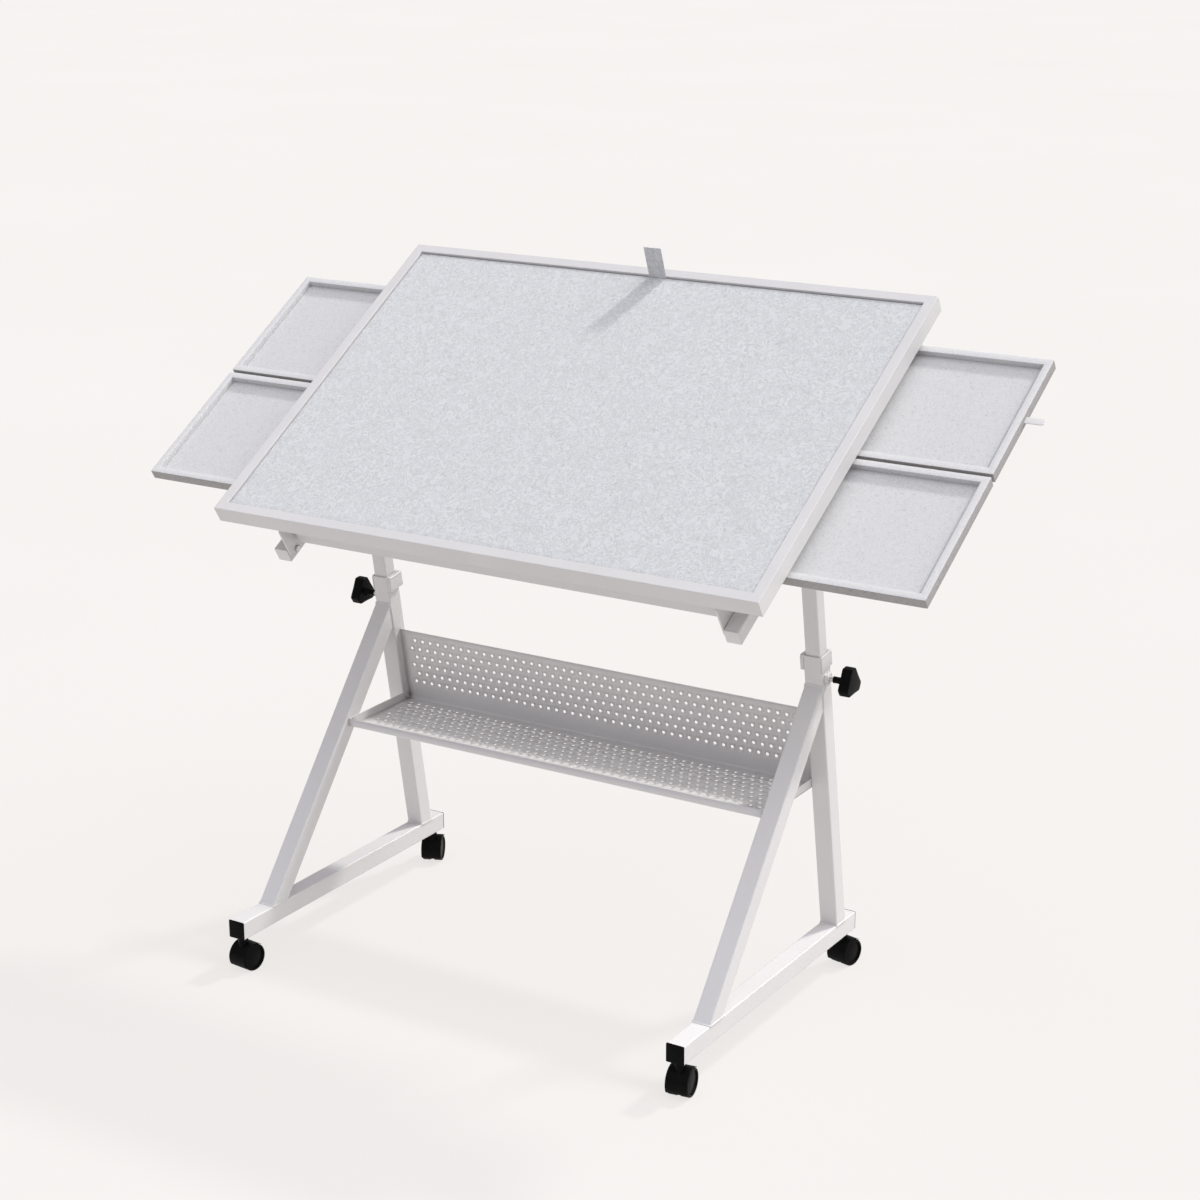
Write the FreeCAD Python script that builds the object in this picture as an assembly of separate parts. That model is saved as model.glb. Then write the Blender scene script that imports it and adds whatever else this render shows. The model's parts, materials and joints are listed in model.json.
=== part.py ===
import FreeCAD, Part
import math
import os

# Tilting jigsaw puzzle table on casters, with four slide-out trays and a perforated shelf.
# Millimetres and degrees. +X is the table's right, +Y its back, +Z up. The origin is the point
# on the floor midway between the four casters.

# Leg frames
LEG_SPAN = 844.0
LEG_TUBE = 30.0
LEG_WALL = 1.5
FOOT_LENGTH = 556.0
UPRIGHT_INSET = 52.0
UPRIGHT_LEAN = 9.8
UPRIGHT_LENGTH = 480.0
BRACE_INSET = 77.0
BRACE_LEAN = 38.5
FOOT_CAP_FLANGE = 2.0
FOOT_CAP_PLUG = 30.0
FOOT_NOTCH = 16.0

# Collars, telescoping posts and hinge forks
COLLAR_HEIGHT = 25.0
COLLAR_WALL = 1.5
COLLAR_CHEEK = 6.0
COLLAR_BACK = 4.0
COLLAR_LIP = 3.0
POST_TUBE = 25.0
POST_WALL = 1.5
POST_LENGTH = 440.0
SLIDE_CLEARANCE = 0.3
GLIDE_HEIGHT = 30.0
GLIDE_PLUG = 12.0
PIVOT_REACH = 720.0
FORK_DEPTH = 28.0
FORK_SHEET = 3.0
FORK_WIDTH = 25.0
FORK_TOP = 12.0
FORK_CORNER = 6.0
PIVOT_RADIUS = 4.0
PIN_CLEARANCE = 0.05
FACE_CLEARANCE = 0.2
BOLT_HEAD_HEIGHT = 5.0
BOLT_HEAD_RADIUS = 7.0

# Clamp knobs
KNOB_DROP = 38.0
STUD_RADIUS = 4.0
STUD_IN_KNOB = 12.0
NUT_HEIGHT = 6.0
NUT_SIDE = 16.0
KNOB_GAP = 6.0
KNOB_NECK_LENGTH = 18.0
KNOB_NECK_RADIUS = 5.5
KNOB_ROOT_RADIUS = 8.5
KNOB_THICKNESS = 17.0
KNOB_REACH = 24.0
KNOB_TIP_WIDTH = 13.0
KNOB_SIDE_REACH = 17.0
KNOB_EDGE = 1.5
KNOB_TURN = 5.0

# Casters
CASTER_HEIGHT = 60.0
CASTER_INSET = 16.0
CASTER_TRAIL = 8.0
WHEEL_RADIUS = 22.5
WHEEL_WIDTH = 14.5
WHEEL_EDGE = 2.5
WHEEL_CLEARANCE = 0.5
HOOD_WEB = 5.0
HOOD_GAP = 0.8
HOOD_SHELL = 1.5
HOOD_HUB = 8.0
HOOD_NECK_RADIUS = 8.0
HOOD_ARC = 160.0
HOOD_FORWARD = 40.0
AXLE_RADIUS = 3.0
STEM_RADIUS = 5.0
STEM_IN_HOOD = 10.0
STEM_IN_FOOT = 22.0
FRONT_LEFT_SWIVEL = -6.0
FRONT_RIGHT_SWIVEL = 8.0
BACK_LEFT_SWIVEL = 24.0
BACK_RIGHT_SWIVEL = -12.0

# Shelf
SHELF_HEIGHT = 335.5
SHELF_SHEET = 1.5
SHELF_FRONT = 14.0
SHELF_LIP = 14.0
SHELF_BACK_HEIGHT = 130.0
SHELF_BACK_BAND = 20.0
SHELF_MARGIN = 16.0
HOLE_WIDTH = 11.0
HOLE_PITCH = 54.0
HOLE_ROW = 38.0
SHELF_BOLT_RADIUS = 3.0
SHELF_BOLT_HEAD_RADIUS = 5.5
SHELF_BOLT_HEAD = 3.0

# Board: raised rim round a felt-faced insert
BOARD_TILT = 31.1
BOARD_WIDTH = 970.0
BOARD_DEPTH = 656.0
RAIL_WIDTH = 17.0
RAIL_HEIGHT = 28.5
RIM_HEIGHT = 3.0
FELT_THICKNESS = 2.0
INSERT_THICKNESS = 6.0
INSERT_GAP = 1.5
INSERT_BACK_GAP = 2.2
BASE_THICKNESS = 9.0
GROOVE_DEPTH = 4.0
TAB_WIDTH = 32.0
TAB_THICKNESS = 1.4
TAB_LENGTH = 50.0
TAB_LEAN = 11.0

# Carrier tubes, aprons and brackets under the board
CARRIER_DROP = 94.7
CARRIER_TUBE = 25.0
CARRIER_WALL = 1.5
CARRIER_LENGTH = 622.0
CARRIER_CAP = 2.0
CARRIER_PLUG = 12.0
PIVOT_FORWARD = 47.2
APRON_END_GAP = 8.5
APRON_THICKNESS = 18.0
APRON_HEIGHT = 76.0
APRON_INSET = 41.0
BRACKET_SHEET = 3.0
BRACKET_HEIGHT = 63.0
BRACKET_REACH = 40.0
BRACKET_LEG = 46.0
BRACKET_CORNER = 7.0
BRACKET_LAP = 18.0
BRACKET_BOLT_RADIUS = 3.0
BRACKET_BOLT_HEAD_RADIUS = 5.5
BRACKET_BOLT_HEAD = 4.0
BRACKET_BOLT_INSET = 19.0
APRON_SCREW_LENGTH = 14.0
APRON_SCREW_RADIUS = 2.0
APRON_SCREW_HEAD_RADIUS = 4.0
APRON_SCREW_HEAD = 2.5

# Trays and their runners
TRAY_LENGTH = 450.0
TRAY_WIDTH = 246.5
TRAY_HEIGHT = 16.0
TRAY_DROP = 35.0
TRAY_PULLED_OUT = 209.0
TRAY_RIM = 12.0
TRAY_FLOOR = 6.5
TRAY_SIDE_GAP = 2.0
DIVIDER_SET_BACK = 5.0
RUNNER_SHEET = 2.0
RUNNER_LEDGE = 12.0
RUNNER_FLANGE = 10.0
RUNNER_END_GAP = 1.0
STRIP_LENGTH = 30.0
STRIP_WIDTH = 13.0
STRIP_THICKNESS = 1.5
STRIP_ROOT = 8.0

# Places worked out from the sizes above
FOOT_TOP = CASTER_HEIGHT + LEG_TUBE
UPRIGHT_Y = FOOT_LENGTH / 2 - UPRIGHT_INSET
BRACE_Y = BRACE_INSET - FOOT_LENGTH / 2
LEG_X = LEG_SPAN / 2 - LEG_TUBE / 2
LEG_INNER = LEG_SPAN / 2 - LEG_TUBE
CASTER_Y = FOOT_LENGTH / 2 - CASTER_INSET
COLLAR_TOP = UPRIGHT_LENGTH + COLLAR_LIP
KNOB_UP = UPRIGHT_LENGTH - KNOB_DROP
POST_TOP = PIVOT_REACH - FORK_DEPTH - FORK_SHEET
CARRIER_MIDDLE = CARRIER_DROP + CARRIER_TUBE / 2
BASE_TOP = RIM_HEIGHT + FELT_THICKNESS + INSERT_THICKNESS
BASE_UNDER = BASE_TOP + BASE_THICKNESS
APRON_FRONT = BOARD_DEPTH / 2 - APRON_INSET
CARRIER_INNER = LEG_X - CARRIER_TUBE / 2
CARRIER_FRONT = CARRIER_LENGTH / 2
TRAY_BOTTOM = TRAY_DROP + TRAY_HEIGHT
RUNNER_SEAT = TRAY_BOTTOM + FACE_CLEARANCE
TRAY_OUTER = BOARD_WIDTH / 2 + TRAY_PULLED_OUT

VEC = FreeCAD.Vector
X_AXIS = VEC(1, 0, 0)
Y_AXIS = VEC(0, 1, 0)
Z_AXIS = VEC(0, 0, 1)


def box(x0, x1, y0, y1, z0, z1):
    """A block between two corners."""
    return Part.makeBox(x1 - x0, y1 - y0, z1 - z0, VEC(x0, y0, z0))


def rod(radius, start, direction, length):
    """A round bar from start along direction."""
    return Part.makeCylinder(radius, length, start, direction)


def hex_prism(across, start, direction, length):
    """A six-sided bar, across its corners, from start along direction."""
    corners = []
    for i in range(7):
        turn = math.radians(60 * i)
        corners.append(VEC(across / 2 * math.cos(turn), across / 2 * math.sin(turn), 0))
    prism = Part.Face(Part.makePolygon(corners)).extrude(Z_AXIS * length)
    prism.Placement = FreeCAD.Placement(start, FreeCAD.Rotation(Z_AXIS, direction))
    return prism


def square_tube(side, wall, length):
    """A hollow square tube up the Z axis, centred on it."""
    outer = box(-side / 2, side / 2, -side / 2, side / 2, 0, length)
    bore = side / 2 - wall
    return outer.cut(box(-bore, bore, -bore, bore, 0, length))


def screw(radius, head_radius, head_height, start, direction, length):
    """A hexagon screw from the top of its head; shank and hole are six-sided to keep them light."""
    head = hex_prism(2 * head_radius, start, direction, head_height)
    return head.fuse(hex_prism(2 * radius, start, direction, head_height + length))


def plate(points, thickness, direction):
    """A flat plate from an outline, thickened along direction."""
    return Part.Face(Part.makePolygon(points + points[:1])).extrude(direction * thickness)


def mirrored(shape):
    """The same piece on the other side of the table."""
    return shape.mirror(VEC(0, 0, 0), X_AXIS)


def both(shape):
    """The piece on the right and its mirror image on the left."""
    return Part.makeCompound([shape, mirrored(shape)])


def turned(shape, angle, x, y, z):
    """The shape turned about the X axis, then carried to x, y, z."""
    out = shape.copy()
    out.Placement = FreeCAD.Placement(VEC(x, y, z), FreeCAD.Rotation(X_AXIS, angle)).multiply(out.Placement)
    return out


def on_upright(shape):
    """From the right upright's own frame, Z up its middle line from the foot, to the table."""
    return turned(shape, UPRIGHT_LEAN, LEG_X, UPRIGHT_Y, FOOT_TOP)


def upright_point(up):
    """The point on the right upright's middle line, a length up from the foot."""
    lean = math.radians(UPRIGHT_LEAN)
    return VEC(LEG_X, UPRIGHT_Y - up * math.sin(lean), FOOT_TOP + up * math.cos(lean))


def on_board(shape):
    """From the board's frame, Z = 0 on the rim and Y = 0 at mid depth, to the table."""
    tilt = math.radians(BOARD_TILT)
    pivot = upright_point(PIVOT_REACH)
    back = PIVOT_FORWARD * math.cos(tilt) - CARRIER_MIDDLE * math.sin(tilt)
    rise = PIVOT_FORWARD * math.sin(tilt) + CARRIER_MIDDLE * math.cos(tilt)
    return turned(shape, BOARD_TILT, 0, pivot.y + back, pivot.z + rise)


def export(name, shape):
    """Write one node."""
    shape.exportStep("parts/" + name + ".step")


def export_pair(name, shape):
    """Write a right-hand piece and its mirror image as two nodes."""
    export("right_" + name, shape)
    export("left_" + name, mirrored(shape))


# Leg frames

def foot():
    """Square tube along the depth, notched below at each end for the boss of its plug."""
    length = FOOT_LENGTH - 2 * FOOT_CAP_FLANGE
    tube = turned(square_tube(LEG_TUBE, LEG_WALL, length), -90, 0, -length / 2, 0)
    tube.translate(VEC(LEG_X, 0, FOOT_TOP - LEG_TUBE / 2))
    x0 = LEG_X - FOOT_NOTCH / 2
    x1 = LEG_X + FOOT_NOTCH / 2
    for y in (-length / 2, length / 2 - FOOT_CAP_PLUG):
        tube = tube.cut(box(x0, x1, y, y + FOOT_CAP_PLUG, CASTER_HEIGHT, CASTER_HEIGHT + LEG_WALL))
    return tube


def stem_pocket(start, direction, length):
    """Six-sided pocket that takes a caster's round stem with a running clearance."""
    across = 2 * (STEM_RADIUS + PIN_CLEARANCE) / math.cos(math.radians(30))
    return hex_prism(across, start, direction, length)


def foot_cap(end):
    """Flat plug in one end of the right foot; a boss below fills the notch and holds the stem."""
    half = LEG_TUBE / 2
    bore = half - LEG_WALL
    y1 = FOOT_CAP_FLANGE + FOOT_CAP_PLUG
    cap = box(-half, half, 0, FOOT_CAP_FLANGE, -half, half)
    cap = cap.fuse(box(-bore, bore, FOOT_CAP_FLANGE, y1, -bore, bore))
    cap = cap.fuse(box(-FOOT_NOTCH / 2, FOOT_NOTCH / 2, FOOT_CAP_FLANGE, y1, -half, -bore))
    pocket = stem_pocket(VEC(0, CASTER_INSET, -half), Z_AXIS, STEM_IN_FOOT + FACE_CLEARANCE)
    cap = cap.cut(pocket).removeSplitter()
    if end > 0:
        cap = cap.mirror(VEC(0, 0, 0), Y_AXIS)
    cap.translate(VEC(LEG_X, end * FOOT_LENGTH / 2, FOOT_TOP - half))
    return cap


def upright():
    """Leaning outer tube, cut level on the foot, with a welded nut for the clamp stud."""
    below = LEG_TUBE * math.tan(math.radians(UPRIGHT_LEAN))
    tube = square_tube(LEG_TUBE, LEG_WALL, UPRIGHT_LENGTH + below)
    tube.translate(VEC(0, 0, -below))
    half = LEG_TUBE / 2
    side = NUT_SIDE / 2
    nut = box(half, half + NUT_HEIGHT, -side, side, KNOB_UP - side, KNOB_UP + side)
    tube = tube.fuse(nut)
    tube = tube.cut(rod(STUD_RADIUS + PIN_CLEARANCE, VEC(0, 0, KNOB_UP), X_AXIS, half + NUT_HEIGHT))
    tube = on_upright(tube)
    return tube.cut(box(0, LEG_SPAN, -FOOT_LENGTH, FOOT_LENGTH, 0, FOOT_TOP)).removeSplitter()


def brace():
    """Square tube from the foot to the upright's front face, cut to both."""
    length = UPRIGHT_LENGTH * 2
    tube = square_tube(LEG_TUBE, LEG_WALL, length)
    tube.translate(VEC(0, LEG_TUBE / 2, -LEG_TUBE * 2))
    tube = turned(tube, -BRACE_LEAN, LEG_X, BRACE_Y, FOOT_TOP)
    tube = tube.cut(box(0, LEG_SPAN, -FOOT_LENGTH, FOOT_LENGTH, -FOOT_TOP, FOOT_TOP))
    behind = on_upright(box(-LEG_TUBE, LEG_TUBE, -LEG_TUBE / 2, length, -length, length))
    return tube.cut(behind)


def collar():
    """Sleeve round the sides and back of the upright's top, with a lip that guides the inner post."""
    half = LEG_TUBE / 2
    slot = POST_TUBE / 2 + SLIDE_CLEARANCE
    low = COLLAR_TOP - COLLAR_HEIGHT
    sleeve = box(-half - COLLAR_CHEEK, half + COLLAR_WALL, -half, half + COLLAR_BACK, low, COLLAR_TOP)
    sleeve = sleeve.cut(box(-half, half, -half, half, low, UPRIGHT_LENGTH))
    sleeve = sleeve.cut(box(-slot, slot, -slot, slot, UPRIGHT_LENGTH, COLLAR_TOP))
    rim = [e for e in sleeve.Edges if abs(e.CenterOfMass.z - COLLAR_TOP) < 0.01 and e.Length > LEG_TUBE]
    return on_upright(sleeve.makeChamfer(COLLAR_WALL / 2, rim))


# Lifting posts and hinge forks

def inner_post():
    """Square tube that slides in the upright."""
    tube = square_tube(POST_TUBE, POST_WALL, POST_LENGTH)
    tube.translate(VEC(0, 0, POST_TOP - POST_LENGTH))
    return on_upright(tube)


def post_glide():
    """Plastic foot under the inner post that runs in the upright's bore."""
    low = POST_TOP - POST_LENGTH
    side = LEG_TUBE / 2 - LEG_WALL - SLIDE_CLEARANCE
    plug = POST_TUBE / 2 - POST_WALL
    glide = box(-side, side, -side, side, low - GLIDE_HEIGHT, low)
    return on_upright(glide.fuse(box(-plug, plug, -plug, plug, low, low + GLIDE_PLUG)))


def fork_inside():
    """Half the clear width of a hinge fork, round the carrier tube."""
    return CARRIER_TUBE / 2 + FACE_CLEARANCE


def hinge_fork():
    """U-shaped bracket on the post: a base and two ears with pivot holes and cropped corners."""
    inside = fork_inside()
    outside = inside + FORK_SHEET
    half = FORK_WIDTH / 2
    top = PIVOT_REACH + FORK_TOP
    fork = box(-outside, outside, -half, half, POST_TOP, POST_TOP + FORK_SHEET)
    for start in (-outside, inside):
        outline = [
            VEC(start, -half, POST_TOP),
            VEC(start, half, POST_TOP),
            VEC(start, half, top - FORK_CORNER),
            VEC(start, half - FORK_CORNER, top),
            VEC(start, -half + FORK_CORNER, top),
            VEC(start, -half, top - FORK_CORNER),
        ]
        fork = fork.fuse(plate(outline, FORK_SHEET, X_AXIS))
    hole = rod(PIVOT_RADIUS + PIN_CLEARANCE, VEC(-2 * outside, 0, PIVOT_REACH), X_AXIS, 4 * outside)
    return on_upright(fork.cut(hole).removeSplitter())


def pivot_bolt():
    """Bolt through fork and carrier tube, with its hexagon head on the outer side."""
    outside = fork_inside() + FORK_SHEET
    shank = rod(PIVOT_RADIUS, VEC(-outside, 0, PIVOT_REACH), X_AXIS, 2 * outside)
    head = hex_prism(2 * BOLT_HEAD_RADIUS, VEC(outside, 0, PIVOT_REACH), X_AXIS, BOLT_HEAD_HEIGHT)
    return on_upright(shank.fuse(head))


def pivot_nut():
    """Closed cap nut against the inner ear of the fork."""
    start = VEC(-fork_inside() - FORK_SHEET, 0, PIVOT_REACH)
    return on_upright(hex_prism(2 * BOLT_HEAD_RADIUS, start, -X_AXIS, BOLT_HEAD_HEIGHT))


# Clamp knobs

def knob_start():
    """How far the knob's neck stands from the upright's middle line."""
    return LEG_TUBE / 2 + NUT_HEIGHT + KNOB_GAP


def clamp_stud():
    """Threaded stud from the knob through the welded nut to the inner post's face."""
    tip = POST_TUBE / 2 + FACE_CLEARANCE
    return on_upright(rod(STUD_RADIUS, VEC(tip, 0, KNOB_UP), X_AXIS, knob_start() + STUD_IN_KNOB - tip))


def three_corner_knob():
    """Three-cornered knob with cropped tips, one up; its flared neck has a six-sided pocket for the stud."""
    start = VEC(knob_start(), 0, 0)
    face = start + X_AXIS * KNOB_NECK_LENGTH
    points = []
    for number in range(3):
        turn = FreeCAD.Rotation(X_AXIS, number * 120)
        for y, z in ((KNOB_TIP_WIDTH / 2, KNOB_REACH), (-KNOB_TIP_WIDTH / 2, KNOB_REACH)):
            points.append(face + turn.multVec(VEC(0, y, z)))
        points.append(face + FreeCAD.Rotation(X_AXIS, number * 120 + 60).multVec(VEC(0, 0, KNOB_SIDE_REACH)))
    body = plate(points, KNOB_THICKNESS, X_AXIS)
    rims = [e for e in body.Edges if abs(e.tangentAt(e.FirstParameter).x) < 0.5]
    body = body.makeChamfer(KNOB_EDGE, rims)
    neck = Part.makeCone(KNOB_NECK_RADIUS, KNOB_ROOT_RADIUS, KNOB_NECK_LENGTH, start, X_AXIS)
    across = 2 * STUD_RADIUS / math.cos(math.radians(30))
    pocket = hex_prism(across, start, X_AXIS, STUD_IN_KNOB)
    knob = neck.fuse(body).cut(pocket).removeSplitter()
    return on_upright(turned(knob, -KNOB_TURN, 0, 0, KNOB_UP))


# Casters, each in its own frame: swivel axis up Z, wheels trailing towards +Y

def caster_place(shape, x, y, swivel):
    """Turn a caster piece about its stem and carry it to its foot."""
    out = shape.copy()
    out.Placement = FreeCAD.Placement(VEC(x, y, 0), FreeCAD.Rotation(Z_AXIS, swivel)).multiply(out.Placement)
    return out


def sector(radius, width):
    """The part of a disc round the axle that lies under the hood's arch."""
    disc = Part.makeCylinder(radius, width, VEC(-width / 2, CASTER_TRAIL, WHEEL_RADIUS), X_AXIS, HOOD_ARC)
    disc.rotate(VEC(0, CASTER_TRAIL, WHEEL_RADIUS), X_AXIS, HOOD_FORWARD - HOOD_ARC / 2)
    return disc


def caster_half_width():
    """From the caster's middle to the outer face of a wheel."""
    return HOOD_WEB / 2 + WHEEL_CLEARANCE + WHEEL_WIDTH


def neck_top():
    """Height of the hood's neck, which runs under the foot."""
    return CASTER_HEIGHT - FACE_CLEARANCE


def caster_hood():
    """Arched cover over both wheels, with a web between them and a neck for the stem."""
    width = 2 * caster_half_width()
    inner = WHEEL_RADIUS + HOOD_GAP
    neck = rod(HOOD_NECK_RADIUS, VEC(0, 0, WHEEL_RADIUS), Z_AXIS, neck_top() - WHEEL_RADIUS)
    hood = sector(inner + HOOD_SHELL, width).fuse(neck)
    hood = hood.cut(rod(inner, VEC(-width, CASTER_TRAIL, WHEEL_RADIUS), X_AXIS, 2 * width))
    half = HOOD_WEB / 2
    hub_front = CASTER_TRAIL - HOOD_HUB
    hub_back = CASTER_TRAIL + HOOD_HUB
    hub = box(-half, half, hub_front, hub_back, WHEEL_RADIUS - HOOD_HUB, WHEEL_RADIUS)
    hood = hood.fuse(sector(inner, HOOD_WEB)).fuse(hub)
    bore = rod(AXLE_RADIUS + PIN_CLEARANCE, VEC(-half, CASTER_TRAIL, WHEEL_RADIUS), X_AXIS, HOOD_WEB)
    socket = stem_pocket(VEC(0, 0, neck_top() - STEM_IN_HOOD), Z_AXIS, STEM_IN_HOOD)
    return hood.cut(bore).cut(socket).removeSplitter()


def caster_stem():
    """Upright steel pin from the hood into the foot."""
    low = neck_top() - STEM_IN_HOOD
    return rod(STEM_RADIUS, VEC(0, 0, low), Z_AXIS, CASTER_HEIGHT + STEM_IN_FOOT - low)


def caster_wheels():
    """Both wheels on their axle, turned as one profile with bevelled outer edges."""
    start = HOOD_WEB / 2 + WHEEL_CLEARANCE
    end = start + WHEEL_WIDTH
    half_profile = [
        (start, AXLE_RADIUS),
        (start, WHEEL_RADIUS),
        (end - WHEEL_EDGE, WHEEL_RADIUS),
        (end, WHEEL_RADIUS - WHEEL_EDGE),
        (end, 0),
    ]
    points = [VEC(-x, 0, r) for x, r in reversed(half_profile)]
    points = points + [VEC(x, 0, r) for x, r in half_profile]
    profile = Part.Face(Part.makePolygon(points + points[:1]))
    pair = profile.revolve(VEC(0, 0, 0), X_AXIS, 360)
    pair.translate(VEC(0, CASTER_TRAIL, WHEEL_RADIUS))
    return pair


# Shelf

def hole_grid(span, depth):
    """Six-sided holes in staggered rows over a span by depth field, as one cutter up Z."""
    cutters = []
    rows = int(depth // HOLE_ROW) + 1
    columns = int(span // HOLE_PITCH) + 1
    for row in range(rows):
        y = (row - (rows - 1) / 2) * HOLE_ROW
        shift = (row % 2) * HOLE_PITCH / 2
        for column in range(columns - row % 2):
            x = (column - (columns - 1) / 2) * HOLE_PITCH + shift
            cutters.append(hex_prism(HOLE_WIDTH, VEC(x, y, -2 * SHELF_SHEET), Z_AXIS, 4 * SHELF_SHEET))
    return Part.makeCompound(cutters)


def shelf_end_y():
    """Where the shelf floor meets the back panel: the uprights' middle plane at that height."""
    return UPRIGHT_Y - (SHELF_HEIGHT - FOOT_TOP) * math.tan(math.radians(UPRIGHT_LEAN))


def shelf_floor():
    """Perforated flat sheet between the legs, reaching under the back panel."""
    depth = shelf_end_y() + SHELF_SHEET / math.cos(math.radians(UPRIGHT_LEAN)) - SHELF_FRONT
    half = LEG_INNER - SHELF_SHEET
    sheet = box(-half, half, -depth / 2, depth / 2, 0, SHELF_SHEET)
    field = hole_grid(2 * (half - SHELF_MARGIN), depth - 2 * SHELF_MARGIN)
    sheet = sheet.cut(field)
    sheet.translate(VEC(0, SHELF_FRONT + depth / 2, SHELF_HEIGHT))
    return sheet


def shelf_back():
    """Perforated panel that leans with the uprights, plain along its upper band."""
    half = LEG_INNER
    height = SHELF_BACK_HEIGHT
    sheet = box(-half, half, -SHELF_SHEET, height, -SHELF_SHEET, 0)
    field_height = height - SHELF_BACK_BAND - 2 * SHELF_MARGIN
    field = hole_grid(2 * (half - SHELF_MARGIN), field_height)
    field.translate(VEC(0, SHELF_MARGIN + field_height / 2, 0))
    sheet = sheet.cut(field)
    seat = SHELF_HEIGHT + SHELF_SHEET
    sheet = turned(sheet, 90 + UPRIGHT_LEAN, 0, shelf_end_y(), seat)
    return sheet.cut(box(-half, half, 0, FOOT_LENGTH, SHELF_HEIGHT - SHELF_SHEET, seat))


def shelf_lip():
    """Upturned front edge of the shelf."""
    half = LEG_INNER
    return box(-half, half, SHELF_FRONT - SHELF_SHEET, SHELF_FRONT, SHELF_HEIGHT, SHELF_HEIGHT + SHELF_LIP)


def shelf_bolt_places():
    """Centres of the two bolts in the right flange: one in the brace, one in the upright."""
    up = SHELF_HEIGHT + SHELF_SHEET + (SHELF_LIP - SHELF_SHEET) / 2
    in_brace = SHELF_FRONT + SHELF_BOLT_HEAD_RADIUS + 2 * SHELF_SHEET
    in_upright = shelf_end_y() - SHELF_BOLT_HEAD_RADIUS - 3 * SHELF_SHEET
    return [VEC(LEG_INNER, in_brace, up), VEC(LEG_INNER, in_upright, up)]


def shelf_flange():
    """Upturned right end of the shelf, bolted to brace and upright."""
    top = SHELF_HEIGHT + SHELF_LIP
    lean = math.tan(math.radians(UPRIGHT_LEAN))
    rear = shelf_end_y()
    outline = [
        VEC(LEG_INNER - SHELF_SHEET, SHELF_FRONT, SHELF_HEIGHT),
        VEC(LEG_INNER - SHELF_SHEET, rear, SHELF_HEIGHT),
        VEC(LEG_INNER - SHELF_SHEET, rear - SHELF_LIP * lean, top),
        VEC(LEG_INNER - SHELF_SHEET, SHELF_FRONT, top),
    ]
    flange = plate(outline, SHELF_SHEET, X_AXIS)
    for place in shelf_bolt_places():
        start = place - X_AXIS * SHELF_SHEET
        flange = flange.cut(hex_prism(2 * SHELF_BOLT_RADIUS, start, X_AXIS, SHELF_SHEET))
    return flange


def shelf_bolt(place):
    """Bolt through the flange into the leg's wall, short enough to clear the sliding post."""
    head = place - X_AXIS * (SHELF_SHEET + SHELF_BOLT_HEAD)
    length = SHELF_SHEET + LEG_WALL
    return screw(SHELF_BOLT_RADIUS, SHELF_BOLT_HEAD_RADIUS, SHELF_BOLT_HEAD, head, X_AXIS, length)


def bolted_leg(piece):
    """A right brace or upright, drilled for the shelf's bolts."""
    for place in shelf_bolt_places():
        piece = piece.cut(hex_prism(2 * SHELF_BOLT_RADIUS, place, X_AXIS, 2 * LEG_WALL))
    return piece


# Board, in its own frame: Z = 0 on the rim, Y = 0 at mid depth

def rail(length, far):
    """A mitred rail along X with its outer face at y = -far, grooved for the base panel."""
    outer = -far
    inner = outer + RAIL_WIDTH
    section = [
        VEC(0, outer, 0),
        VEC(0, outer, -RAIL_HEIGHT),
        VEC(0, inner, -RAIL_HEIGHT),
        VEC(0, inner, -BASE_UNDER),
        VEC(0, inner - GROOVE_DEPTH, -BASE_UNDER),
        VEC(0, inner - GROOVE_DEPTH, -BASE_TOP),
        VEC(0, inner, -BASE_TOP),
        VEC(0, inner, 0),
    ]
    bar = plate(section, length, X_AXIS)
    bar.translate(VEC(-length / 2, 0, 0))
    for side in (-1, 1):
        wedge = [
            VEC(side * length / 2, outer, -RAIL_HEIGHT),
            VEC(side * length / 2, inner, -RAIL_HEIGHT),
            VEC(side * (length / 2 - RAIL_WIDTH), inner, -RAIL_HEIGHT),
        ]
        bar = bar.cut(plate(wedge, RAIL_HEIGHT, Z_AXIS))
    return bar


def side_rail(turn):
    """A rail of the short side, turned from X to Y."""
    bar = rail(BOARD_DEPTH, BOARD_WIDTH / 2)
    bar.rotate(VEC(0, 0, 0), Z_AXIS, turn)
    return bar


def back_rail():
    """The rail at the back."""
    bar = rail(BOARD_WIDTH, BOARD_DEPTH / 2)
    bar.rotate(VEC(0, 0, 0), Z_AXIS, 180)
    return bar


def base_panel():
    """Fixed panel in the rails' groove."""
    x = BOARD_WIDTH / 2 - RAIL_WIDTH + GROOVE_DEPTH
    y = BOARD_DEPTH / 2 - RAIL_WIDTH + GROOVE_DEPTH
    return box(-x, x, -y, y, -BASE_UNDER, -BASE_TOP)


def insert_layer(top, thickness):
    """A layer of the lift-out insert, as large as the rim less its gaps."""
    x = BOARD_WIDTH / 2 - RAIL_WIDTH - INSERT_GAP
    front = -BOARD_DEPTH / 2 + RAIL_WIDTH + INSERT_GAP
    return box(-x, x, front, insert_back(), -top - thickness, -top)


def insert_back():
    """The insert's back edge."""
    return BOARD_DEPTH / 2 - RAIL_WIDTH - INSERT_BACK_GAP


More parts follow.
